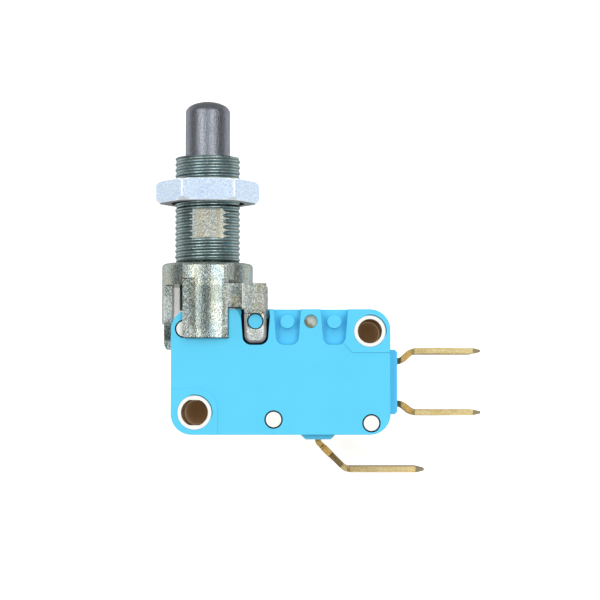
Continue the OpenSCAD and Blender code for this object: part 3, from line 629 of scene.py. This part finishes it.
cover, base = merged("case_cover", straight_pockets), merged("case_base", straight_pockets)
print("soft edges on cover and base:", soften(cover, 0.09), soften(base, 0.1))

# %% Faces in shade
SHADE_SLOT, BORE_SLOT, POST_SLOT = 2, 2, 3
PINS, PIN_RING = ((-2.73, -8.5), (8.61, -19.97), (20.98, -20.44)), (1.1, 1.26)
POCKET_SKIN, POCKET_DEEP, BORES, POST_REACH = 5.14, 4.2, ((ROUND_HOLE, 1.6), (FLAT_HOLE, 1.78)), 0.9


def reach(spot, centre):
    """How far a point is from a centre, seen from the side."""
    return math.hypot(spot.x - centre[0], spot.z - centre[1])


for face in cover.faces:
    spot, way = face.calc_center_median() / MM, face.normal
    for pin in PINS:
        inwards = (spot.x - pin[0]) * way.x + (spot.z - pin[1]) * way.z < -0.05
        if PIN_RING[0] < reach(spot, pin) < PIN_RING[1] and inwards:
            face.material_index = SHADE_SLOT
    in_front = abs(spot.x - TAB_BOSS[0]) < POCKET_HALF and POCKET_END < spot.z < CASE_TOP
    in_pocket = in_front and -POCKET_SKIN < spot.y < -POCKET_FLOOR and reach(spot, TAB_BOSS) > BOSS_REACH
    if in_pocket and (abs(way.y) < 0.2 or spot.y > -POCKET_DEEP or face.material_index == EDGE_SLOT):
        face.material_index = SHADE_SLOT
for face in base.faces:
    spot, way = face.calc_center_median() / MM, face.normal
    if abs(way.y) < 0.1 and any(reach(spot, hole) < radius for hole, radius in BORES):
        face.material_index = BORE_SLOT
    if way.y < -0.5 and reach(spot, SIGHT_POST) < POST_REACH:
        face.material_index = POST_SLOT
dress("case_cover_moulded", cover, "case_cover", (*blue, deep_blue))
dress("case_base_moulded", base, "case_base", (*white, bore_wall, post_end))

# %% [markdown]
# ## Die-cast bushing
# The bushing is one zinc casting, passivated to a mottled yellow and blue-green. Its lower part,
# the collar and the clip, is taken from the CAD copy. The thread is far too fine for the drawing,
# so the barrel above the collar is replaced by a surface worked out here, with its bore, and
# both shells sit in one piece because the real one is one casting. A stain could be painted on a
# picture, but here it is a formula: specks everywhere, golden stains in a few oblongs, painted
# shade in other oblongs, in the inner corners and on the thread's flanks, and painted light in the
# lit oblongs.

# %% Metal and casting
# Painted shade for the inner corners, the thread's flanks and dark lines, and a painted shadow at the foot of
# the thread.
CREVICE_SHADE, UNDERCUT_SHADOW = paint(44, 48, 46), paint(12, 15, 16)


def plated(name, tone, deep, rough, grain, depth, wear, metallic=1.0):
    """Metal between two tones in fine specks, with a soft cloud in the gloss."""
    coat = Coat(name, metallic=metallic)
    speck, cloud = coat.grain(grain, detail=2, contrast=2.2), coat.grain(2.2)
    coat.feed(base_color=coat.tint(speck * wear + cloud * (1 - wear) * 0.5, tone, deep),
              roughness=rough + (cloud - 0.5) * 0.15, normal=coat.bumps(speck, depth))
    return coat


def casting(name, warm, cool, pale_tone, deep, rough, depth, grain,
            shade_and_stain=(), lit_oblongs=(), flanks=None, metallic=1.0):
    """Stain between a warm and a cool tone, streaked down the draw, flecked with a pale one and pitted with
    a deep one, over a cast grain that lifts the surface by depth mm and so mirrors many directions.
    Each oblong in the list of shade and stain tints it: as painted shade where its colour is dark, as a
    stain where it is golden. Painted shade also darkens the inner corners or, on a thread, its flanks
    between two radii. The lit oblongs are painted light, paler and less metallic."""
    coat = Coat(name, metallic=metallic)
    stain = coat.grain(1.3, detail=3, stretch=(1, 1, 0.45), contrast=1.6)
    fleck = coat.grain(grain * 1.6, detail=3, contrast=2.2)
    pit = coat.grain(grain * 0.9, detail=1, contrast=2.8)
    lift = coat.grain(grain, detail=2, contrast=1.2)
    tone = coat.tint(fleck * 0.7, coat.tint(stain, warm, cool), pale_tone)
    # Painted light: the lit oblongs are made paler, and below also less metallic.
    painted_lit = sum(coat.patch(*oblong) for oblong in lit_oblongs)
    if lit_oblongs:
        tone = coat.tint(painted_lit, tone, pale_tone)
    # Painted shade where an oblong's colour is dark; a stain where it is golden.
    for oblong, colour in shade_and_stain:
        tone = coat.tint(coat.patch(*oblong), tone, colour)
    # Painted shade on a thread's flanks, and otherwise in the inner corners.
    if flanks:
        radius = (coat.along("X") ** 2 + coat.along("Y") ** 2) ** 0.5
        tone = coat.tint(coat.band(radius, *flanks, soft=0.03) * 0.7, tone, CREVICE_SHADE)
    else:
        tone = coat.tint(coat.step(coat.corners(0.4), 0.35, 0.9), CREVICE_SHADE, tone)
    coat.feed(base_color=coat.tint(pit * 0.65, tone, deep), metallic=metallic - painted_lit * 0.6,
              roughness=rough + (fleck - 0.5) * 0.16, normal=coat.bumps(lift, depth))
    return coat


in_shade = plated("zinc_in_shade", paint(30, 34, 36), paint(16, 19, 21),
                  rough=0.6, grain=0.2, depth=0.004, wear=0.5, metallic=0.0)
in_shade.feed(specular_ior_level=0.1)
print("finish of shaded zinc:", in_shade.owner.name)

# %% Finishes of the casting
# Painted shade: the warm and cool shade tones darken the leg, web and collar, and the crevice shade draws
# dark lines and the hook; golden is a stain.
WARM_SHADE, COOL_SHADE, GOLDEN = paint(112, 116, 106), paint(104, 126, 132), paint(206, 184, 104)
SHADE_AND_STAIN = (((-0.2, -5.8, 0.6, 2.6, 0.55), COOL_SHADE), ((0.9, -4.0, 1.1, 0.9, 0.4), COOL_SHADE),
          ((-1.7, -5.4, 0.25, 2.6, 0.5), WARM_SHADE), ((4.0, -4.6, 0.6, 1.4, 0.4), WARM_SHADE),
          ((7.0, -3.2, 0.4, 0.3, 0.3), GOLDEN), ((6.6, -5.8, 0.5, 0.4, 0.25), GOLDEN),
          ((3.7, -5.0, 0.4, 0.5, 0.3), GOLDEN), ((-4.8, -8.9, 0.5, 0.8, 0.8), CREVICE_SHADE),
          ((-2.15, -2.12, 0.75, 0.04, 0.8, 0.1), CREVICE_SHADE), ((3.5, -2.62, 1.1, 0.04, 0.8, 0.1), CREVICE_SHADE))
# Painted light: paler, less metallic oblongs on the tab, the ear's edge, the end wall, the leg and the
# collar.
PAINTED_LIGHT = ((6.3, -9.3, 1.0, 0.8, 0.95), (6.1, -4.4, 1.3, 1.6, 0.45), (4.78, -4.3, 0.1, 1.5, 0.5, 0.1),
          (-5.0, -5.8, 0.4, 1.4, 0.85), (3.2, -3.9, 0.25, 1.1, 0.5), (-2.3, -7.6, 0.5, 1.7, 0.35),
          (-0.9, -7.4, 0.15, 1.8, 0.35), (1.75, -7.6, 0.3, 1.6, 0.4), (2.7, -5.5, 0.1, 3.2, 0.5, 0.15),
          (-2.5, -1.2, 0.3, 0.9, 0.4), (3.0, -1.2, 0.4, 0.9, 0.45))
FLAT_STAINS = ((-0.85, 5.1, 0.1, 2.0, 0.2), GOLDEN), ((1.6, 5.1, 0.2, 2.0, 0.25), GOLDEN)
# Painted shadow: a near-black line at the foot of the thread.
FOOT_SHADOW = (((0, 0.13, 6, 0.13, 0.95, 0.05), UNDERCUT_SHADOW),)
zinc = casting("cast_zinc", paint(210, 204, 166), paint(160, 198, 212), paint(240, 247, 242),
               paint(122, 132, 126), rough=0.25, depth=0.021, grain=0.165, shade_and_stain=SHADE_AND_STAIN, lit_oblongs=PAINTED_LIGHT)
# Painted highlight and wear: the bevels of the casting are near white and hardly metallic.
zinc_edge = casting("cast_zinc_edge", paint(244, 240, 224), paint(232, 238, 238), paint(252, 252, 248),
                    paint(206, 206, 198), rough=0.35, depth=0.006, grain=0.2, metallic=0.25)
zinc_rim = casting("cast_zinc_rim", paint(166, 160, 162), paint(146, 144, 148), paint(196, 192, 192),
                   paint(112, 110, 112), rough=0.45, depth=0.012, grain=0.16, metallic=0.1)
milled_zinc = casting("milled_zinc", paint(206, 200, 172), paint(178, 194, 194), paint(248, 250, 244),
                      paint(106, 110, 100), rough=0.42, depth=0.014, grain=0.14, shade_and_stain=FLAT_STAINS,
                      metallic=0.3)
screw = casting("thread_zinc", paint(196, 221, 214), paint(176, 208, 211), paint(220, 238, 238),
                paint(130, 154, 152), rough=0.38, depth=0.006, grain=0.2, shade_and_stain=FOOT_SHADOW,
                flanks=(4.06, 4.16))
cast_coats = zinc, zinc_edge, screw, zinc_rim, in_shade, milled_zinc
THREAD_SLOT, RIM_SLOT, DARK_SLOT, MILLED_SLOT = 2, 3, 4, 5
print("finishes of the casting:", [coat.owner.name for coat in cast_coats])

# %% [markdown]
# ## Thread
# The thread is cut on the cast barrel and two flats are milled across it. A screw modifier would
# give rings or a helix, but no flats. As a surface of angle and turns it is short: each row goes
# once round and climbs by one pitch, twelve rows make the crest, flanks and root of one turn, and
# cones and flats only cut the radius down. The bore closes the surface from inside.

# %% Thread surface
PITCH, CREST, ROOT, START = 0.75, 4.2, 4.02, -0.27
MOUTH, MOUTH_EDGE, FOOT, FOOT_SLOPE = 13.75, 0.12, 0.28, 1.2
FLAT_DEPTH, FLAT_TILT, FLAT_ROLL, ROLL_FROM = 3.6, 0.035, 0.24, 1.5
FLAT_LOW, FLAT_HIGH, FLAT_RAMP, FLAT_SKIN = 3.15, 7.0, 0.06, 0.004
ACROSS = np.array([-0.08, -0.05, 0.05, 0.08, 0.2, 0.31, 0.42, 0.45, 0.55, 0.58, 0.69, 0.8])
DEPTH = np.array([0.05, 0, 0, 0.05, 0.37, 0.68, 0.95, 1, 1, 0.95, 0.68, 0.37])


def threaded_barrel(columns=300):
    """Rows follow the helix: height is the pitch times the turns so far, radius the crest less the groove.
    A cone at the mouth, one at the foot and two flats then cut the radius down. Across a flat, the depth is
    FLAT_DEPTH less the tilt, and past ROLL_FROM less a parabola, so one edge of the flat rolls over.
    The last column of a row lies on the first column of the row one turn up. Given back are the angle of
    each column, the height and radius of each point, and whether it lies on a flat."""
    angle = np.linspace(0, 2 * np.pi, columns + 1)
    turns = np.arange(-1, math.ceil(MOUTH / PITCH) + 1)
    phase = (turns[:, None] + ACROSS).ravel() + START
    groove = np.tile(DEPTH, len(turns))
    z = np.clip(PITCH * (phase[:, None] + angle / (2 * np.pi)), FOOT, MOUTH)
    radius = np.broadcast_to((CREST - (CREST - ROOT) * groove)[:, None], z.shape)
    radius = np.minimum(radius, np.minimum(ROOT + (z - FOOT) * FOOT_SLOPE, CREST - MOUTH_EDGE + MOUTH - z))
    across = np.cos(angle) * np.where(np.sin(angle) < 0, 1, -1)
    slope = np.maximum(np.abs(np.sin(angle)) + FLAT_TILT * across, 1e-6)
    plane = FLAT_DEPTH / slope
    a = FLAT_ROLL * np.maximum(across, 1e-3) ** 2
    b = slope - 2 * FLAT_ROLL * across * ROLL_FROM
    rolled = (np.sqrt(b ** 2 - 4 * a * (FLAT_ROLL * ROLL_FROM ** 2 - FLAT_DEPTH)) - b) / (2 * a)
    plane = np.where(plane * across > ROLL_FROM, rolled, plane)
    inside = np.clip(np.minimum(z - FLAT_LOW, FLAT_HIGH - z) / FLAT_RAMP, 0, 1)
    cut = np.minimum(radius, radius + (plane - radius) * inside)
    return angle, z, cut, cut < radius - FLAT_SKIN


angle, z, radius, on_flat = threaded_barrel()
print("thread rows and columns:", z.shape)

# %% Barrel
BORE, WELL, WELL_TOP, SUNK = 2.925, 3.2, 10.5, -0.4
bore = np.array([[MOUTH, BORE + MOUTH_EDGE], [MOUTH - MOUTH_EDGE, BORE], [WELL_TOP, BORE], [WELL_TOP, WELL],
                 [SUNK, WELL], [SUNK, ROOT], [FOOT, ROOT]])
z = np.vstack([z, np.repeat(bore[:, :1], len(angle), axis=1)])
radius = np.vstack([radius, np.repeat(bore[:, 1:], len(angle), axis=1)])
on_flat = np.vstack([on_flat, np.zeros((len(bore), len(angle)), bool)])
points = np.stack([radius * np.cos(angle), radius * np.sin(angle), z], axis=-1)
barrel = put_mesh("barrel", points.reshape(-1, 3), grid_quads(*z.shape))
milled = on_flat[:-1, :-1] & on_flat[1:, :-1] & on_flat[:-1, 1:] & on_flat[1:, 1:]
kind = np.where(milled, MILLED_SLOT, THREAD_SLOT)
barrel.polygons.foreach_set("material_index", kind.ravel().astype(np.int32))
print("barrel quads:", len(barrel.polygons), "on the flats:", int(milled.sum()))

# %% [markdown]
# ## Collar and clip
# The CAD copy of the bushing is cut off at the top of its collar and closed there, and its plain
# barrel is left out. Broad bands run along some edges: round the snap tabs and their holes, on the
# feet of the legs and along the ears. Those on the feet and round the holes are painted shade, and
# those along the ears are a painted highlight. Selecting edges by hand wouldn't survive a new
# drawing, so each kind of edge is a question about where its two ends lie.

# %% Cut below the barrel
TAB_LEFT, TAB_WAIST, TAB_LONGER, CASE_SIDE = 4.8, -8.8, 0.18, 4.0
COLLAR_CUT = 0.005


def longer_tabs(points):
    """Lets the foot of each snap tab down by TAB_LONGER, deeper into its pocket."""
    x, y, z = points.T
    z[(x > TAB_LEFT) & (z < TAB_WAIST) & (np.abs(y) > CASE_SIDE)] -= TAB_LONGER
    return points


clip = merged("bushing", longer_tabs)
everything = clip.verts[:] + clip.edges[:] + clip.faces[:]
cut = bmesh.ops.bisect_plane(clip, geom=everything, dist=1e-7, clear_outer=True,
                             plane_co=(0, 0, COLLAR_CUT * MM), plane_no=(0, 0, 1))
rim = [e for e in cut["geom_cut"] if isinstance(e, bmesh.types.BMEdge)]
bmesh.ops.bridge_loops(clip, edges=rim)
print("edges of the cut:", len(rim))

# %% Bands along the edges
TAB_FACE, TAB_TOP, TAB_HOLE = 5.3, -6.45, 1.1
LEG_LEFT, LEG_RIGHT, LEG_FOOT, WEB_FOOT = -2.9, 3.0, -9.7, -5.85
EAR_LEFT, EAR_RIGHT, EAR_FACE = 4.6, 7.3, 5.59


def near(value, place):
    """Whether a coordinate is at a place, to within TOUCH."""
    return abs(value - place) < TOUCH


def in_hole(x, z):
    """Whether a point lies within the rim of the hole in a snap tab."""
    return math.hypot(x - TAB_BOSS[0], z - TAB_BOSS[1]) < TAB_HOLE


def on_ear_edge(x, y, z):
    """The upright left edges of the two ears."""
    return near(x, EAR_LEFT) and near(abs(y), EAR_FACE)


def on_leg_corner(x, y, z):
    """The lower left corners of the legs."""
    return near(x, LEG_LEFT) and near(z, LEG_FOOT)


def on_foot(x, y, z):
    """The lower edges of the legs and of the webs beside them, outside the case."""
    return abs(y) > TAB_FACE and (near(z, LEG_FOOT) and x < LEG_RIGHT or near(z, WEB_FOOT))


def on_tab_rim(x, y, z):
    """The outline of a snap tab, on its outer face."""
    return near(abs(y), TAB_FACE) and z < TAB_TOP and not in_hole(x, z)


def on_tab_hole(x, y, z):
    """The rim of the hole in a snap tab, on its outer face."""
    return near(abs(y), TAB_FACE) and in_hole(x, z)


# Painted shade: the bands on the feet and round the tab holes take the zinc in shade; the bands on the ears
# take the pale edge finish as a painted highlight.
for width, index, wanted in ((0.13, EDGE_SLOT, on_ear_edge), (0.3, EDGE_SLOT, on_leg_corner),
                             (0.1, DARK_SLOT, on_foot), (0.34, RIM_SLOT, on_tab_rim),
                             (0.09, DARK_SLOT, on_tab_hole)):
    print(wanted.__name__, chamfer(clip, width, index, wanted))

# %% One casting
print("soft edges on the clip:", soften(clip, 0.09))
for face in clip.faces:
    spot, way = face.calc_center_median() / MM, face.normal
    if face.material_index == 0 and spot.x > EAR_RIGHT and way.x > 0.6 and abs(way.y) > 0.6:
        face.material_index = RIM_SLOT
clip.from_mesh(barrel)
bmesh.ops.remove_doubles(clip, verts=clip.verts, dist=1e-4 * MM)
dress("bushing_cast", clip, "bushing", cast_coats)

# %% [markdown]
# ## Nut and plunger
# The nut is cut from hexagon bar and bright zinc plated, which is faintly blue. A softened copy
# would do, but the photograph shows sharper corners and the arcs where two cones cut them, and
# both follow from a formula, so the nut is worked out here. The plunger is a turned pin of dark,
# bead-blasted steel. Its CAD shape is right, and a softened copy with its own finish is enough.

# %% Plated and blasted finishes
bright = plated("bright_zinc", paint(231, 246, 255), paint(179, 203, 238),
                rough=0.42, grain=0.18, depth=0.018, wear=0.8, metallic=0.35)
# Painted highlight: the nut's chamfers and corner facets are near white and hardly metallic.
bright_edge = plated("bright_zinc_edge", paint(250, 253, 255), paint(238, 246, 255),
                     rough=0.35, grain=0.16, depth=0.004, wear=0.5, metallic=0.1)
# Painted shade: a darker copy of the bright zinc for the nut's underside.
shaded_underside = plated("bright_zinc_shaded_under", paint(196, 203, 206), paint(172, 180, 184),
                      rough=0.45, grain=0.2, depth=0.01, wear=0.5, metallic=0.2)
steel = plated("blasted_steel", paint(166, 170, 178), paint(128, 133, 142),
               rough=0.31, grain=0.17, depth=0.017, wear=0.7)
print("plated:", [coat.owner.name for coat in (bright, bright_edge, shaded_underside, steel)])

# %% Nut
NUT_LOW, NUT_HIGH, NUT_HALF, NUT_TURN = 7.85, 10.65, 5.835, 3.0
NUT_BORE, NUT_SINK, NUT_EDGE = 4.25, 0.5, 0.07
LOW_CONE, HIGH_CONE = (6.18, 0.76), (6.25, 0.7)
NUT_SLOTS = (2, 3, 1, 0, 1, 0, 2, 2)


def hex_nut():
    """Columns go round the six sides: the radius is half the width over the cosine of the angle from the
    middle of the side, which stops just short of the corners and leaves a narrow facet on each. Rows go from
    the bore along the underside, up the sides and back over the top. Past the cone's radius a side starts
    higher, by the slope. Each row of quads has the slot of its finish, and so have the facets: painted shade
    in the bore, its countersinks and on the underside, a painted highlight on both chamfers and the facets."""
    side = np.radians(np.hstack([-29.1, -28.8, np.linspace(-28, 28, 29), 28.8, 29.1]))
    angle = (np.radians(-90 + NUT_TURN + 60 * np.arange(6))[:, None] + side).ravel()
    outer = np.tile(NUT_HALF / np.cos(side), 6)
    rise, drop = (NUT_EDGE + np.maximum(outer - start, 0) * slope for start, slope in (LOW_CONE, HIGH_CONE))
    low_rim, high_rim = (np.minimum(outer - NUT_EDGE, start) for start, slope in (LOW_CONE, HIGH_CONE))
    bore, sunk = np.full_like(outer, NUT_BORE), np.full_like(outer, NUT_BORE + NUT_SINK)
    level = np.zeros_like(outer)
    radius = np.stack([bore, sunk, low_rim, outer, outer, high_rim, sunk, bore])
    z = np.stack([NUT_LOW + NUT_SINK + level, NUT_LOW + level, NUT_LOW + level, NUT_LOW + rise,
                  NUT_HIGH - drop, NUT_HIGH + level, NUT_HIGH + level, NUT_HIGH - NUT_SINK + level])
    points = np.stack([radius * np.cos(angle), radius * np.sin(angle), z], axis=-1)
    kind = np.tile(np.array(NUT_SLOTS)[:, None], len(angle))
    kind[NUT_SLOTS.index(0), len(side) - 1::len(side)] = EDGE_SLOT
    return points, kind


points, kind = hex_nut()
quads = grid_quads(*points.shape[:2], close_rows=True, close_columns=True)
mesh = put_mesh("nut", points.reshape(-1, 3), quads)
mesh.polygons.foreach_set("material_index", kind.ravel().astype(np.int32))
nut = bmesh.new()
nut.from_mesh(mesh)
dress("panel_nut_plated", nut, "panel_nut", (bright, bright_edge, in_shade, shaded_underside))

# %% Plunger
rod = merged("plunger_rod")
print("soft edges on the plunger:", soften(rod, 0.06, angle=40))
dress("plunger_turned", rod, "plunger_rod", (steel, steel))

# %% [markdown]
# ## Brass tabs
# The three terminals are blanked from half-hard brass strip and bent. The cut edge that faces the
# camera is streaked by the punch, the coined tips are duller and also darkened as painted shade, and
# the root is almost black with painted shade where it leaves the case. A strip could be swept along
# a path again, but the CAD copies have the right bends. They are only drawn a little slimmer and
# shorter, as the photograph shows them, and get one finish for the strip and a darker one, painted
# shade, for its rounded edges. On the common tab, painted shade also draws two dark lines at its
# steps and browns the lower half of its slope.

# %% Brass finish
# Painted shade: the darker colour of the coined tips, and the near black at the roots and at the steps of the
# common tab.
COINED_AND_SHADED, BLACK_SHADE = paint(140, 130, 100), paint(58, 56, 26)
TIP_SOFT, ROOT_SOFT = 0.05, 0.3


def brass_strip(name, dark, light, spot, tip=100, root=-100, marks=()):
    """Streaks along the strip between two tones of brass, with dark spots. Past the tip line it is coined
    dull and darkened as painted shade, and up to the root line it is almost black with painted shade.
    Each mark gives the x and z of a direction, where along it the mark starts and ends, its colour and its
    share."""
    coat = Coat(name)
    streak = coat.grain(0.5, detail=3, stretch=(0.3, 1, 1.4), contrast=1.3)
    speck = coat.grain(0.13, contrast=1.8)
    along, up = coat.along("X"), coat.along("Z")
    tone = coat.tint(speck * 0.4, coat.tint(streak, dark, light), spot)
    for right, rise, start, end, colour, share in marks:
        tone = coat.tint(coat.band(along * right + up * rise, start, end) * share, tone, colour)
    dull = coat.step(along, tip - TIP_SOFT, tip + TIP_SOFT)
    # Painted shade: almost black up to the root line.
    root_shade = 1 - coat.step(along, root, root + ROOT_SOFT)
    tone = coat.tint(root_shade * 0.95, coat.tint(dull, tone, COINED_AND_SHADED), BLACK_SHADE)
    coat.feed(base_color=tone, metallic=1 - dull * 0.95 - root_shade * 0.95,
              roughness=0.34 + (speck - 0.5) * 0.2 + dull * 0.2, normal=coat.bumps(speck, 0.01))
    return coat


# Painted shade: the brown of the lower half of the common tab's slope; warm is a golden tint.
SHADED_BROWN, WARM = paint(96, 74, 38), paint(214, 172, 92)
FACE_TONES = paint(234, 208, 136), paint(254, 242, 190), paint(186, 150, 88)
# Painted shade: the darker brass of the rounded edges.
EDGE_SHADE_TONES = paint(150, 116, 62), paint(214, 184, 118), paint(110, 84, 44)
COMMON_TONES = paint(216, 188, 124), paint(238, 222, 172), paint(172, 138, 80)
END_TAB = {"tip": 33.98, "root": 24.75, "marks": ((1, 0, 25.0, 26.3, WARM, 0.75),)}
DOWN = (0.707, -0.707)
COMMON_TAB = {"tip": 26.63, "marks": ((*DOWN, 25, 28.5, WARM, 0.75), (*DOWN, 26.93, 26.98, BLACK_SHADE, 0.7),
                                      (*DOWN, 28.5, 28.56, BLACK_SHADE, 0.8), (*DOWN, 28.6, 30.5, SHADED_BROWN, 0.75))}
brass = brass_strip("brass_inside", *FACE_TONES)
print("marks on the common tab:", len(COMMON_TAB["marks"]))

# %% Tabs
for node, tones, finish, shorter in (("upper_terminal", FACE_TONES, END_TAB, 0.2),
                                     ("lower_terminal", FACE_TONES, END_TAB, 0.2),
                                     ("common_terminal", COMMON_TONES, COMMON_TAB, 0.13)):
    tip = finish["tip"]
    strip = merged(node, lambda points: points - np.where(points[:, :1] > tip + TIP_SOFT, (shorter, 0, 0), 0))
    soften(strip, 0.07, angle=25, up_to=tip + 2 * TIP_SOFT)
    face = brass_strip(node + "_face", *tones, **finish)
    edge = brass_strip(node + "_edge", *EDGE_SHADE_TONES, **finish)
    dress(node + "_blanked", strip, node, (face, edge), slim=0.045)

# %% [markdown]
# ## Pieces inside
# Rings, lever, arm and contacts are out of sight in the closed case, and show when the part is
# opened up in a drawing. They could be softened too, but at that size it wouldn't show, so they
# keep their CAD shapes and get finishes of their own. The two coil springs come next.

# %% Inner finishes
wire = plated("spring_wire", paint(190, 194, 200), paint(150, 154, 160),
              rough=0.3, grain=0.2, depth=0.002, wear=0.5)
silver = plated("silver_contact", paint(236, 234, 228), paint(214, 211, 203),
                rough=0.25, grain=0.15, depth=0.003, wear=0.5)
black, _ = resin("dark_resin", paint(62, 62, 64), paint(50, 50, 52), paint(80, 80, 82), 0.5,
                 corner_shade=paint(30, 30, 31))
inner = {"rod_ring": steel, "actuator_lever": steel, "lever_pin": steel, "contact_arm": brass,
         "spring_seat": wire, "seat_ring": wire, "snap_spring": wire,
         "upper_contact": silver, "lower_contact": silver, "moving_contact": silver,
         "push_pin": black, "switch_button": black}
for node, coat in inner.items():
    mesh = frame["nodes"][node].data
    mesh.materials.clear()
    mesh.materials.append(coat.owner)
print("inner pieces:", len(inner))

# %% [markdown]
# ## Coil springs
# One spring lifts the plunger, and a thinner one inside the plunger lets it travel on when the
# push pin has stopped. Kept rigid, both would be pierced by what moves against them. A live
# modifier could shorten them, but a pose changes the bodies and nothing else. Here each spring is
# only dressed and given a mesh of its own; its fixed end, free end and travel are listed but not used.

# %% Springs
STROKE, PIN_STROKE = 5.0, 1.5
for node, fixed_end, free_end, given in (("return_spring", -0.96, 9.38, STROKE),
                                         ("overtravel_spring", 16.98, 7.34, STROKE - PIN_STROKE)):
    coil = dress(node + "_coiled", merged(node), node, (wire,))
    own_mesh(coil)

# %% [markdown]
# ## Finish
# The dressed part must stay inside the box of its CAD solids, and dress keeps every point inside that box.
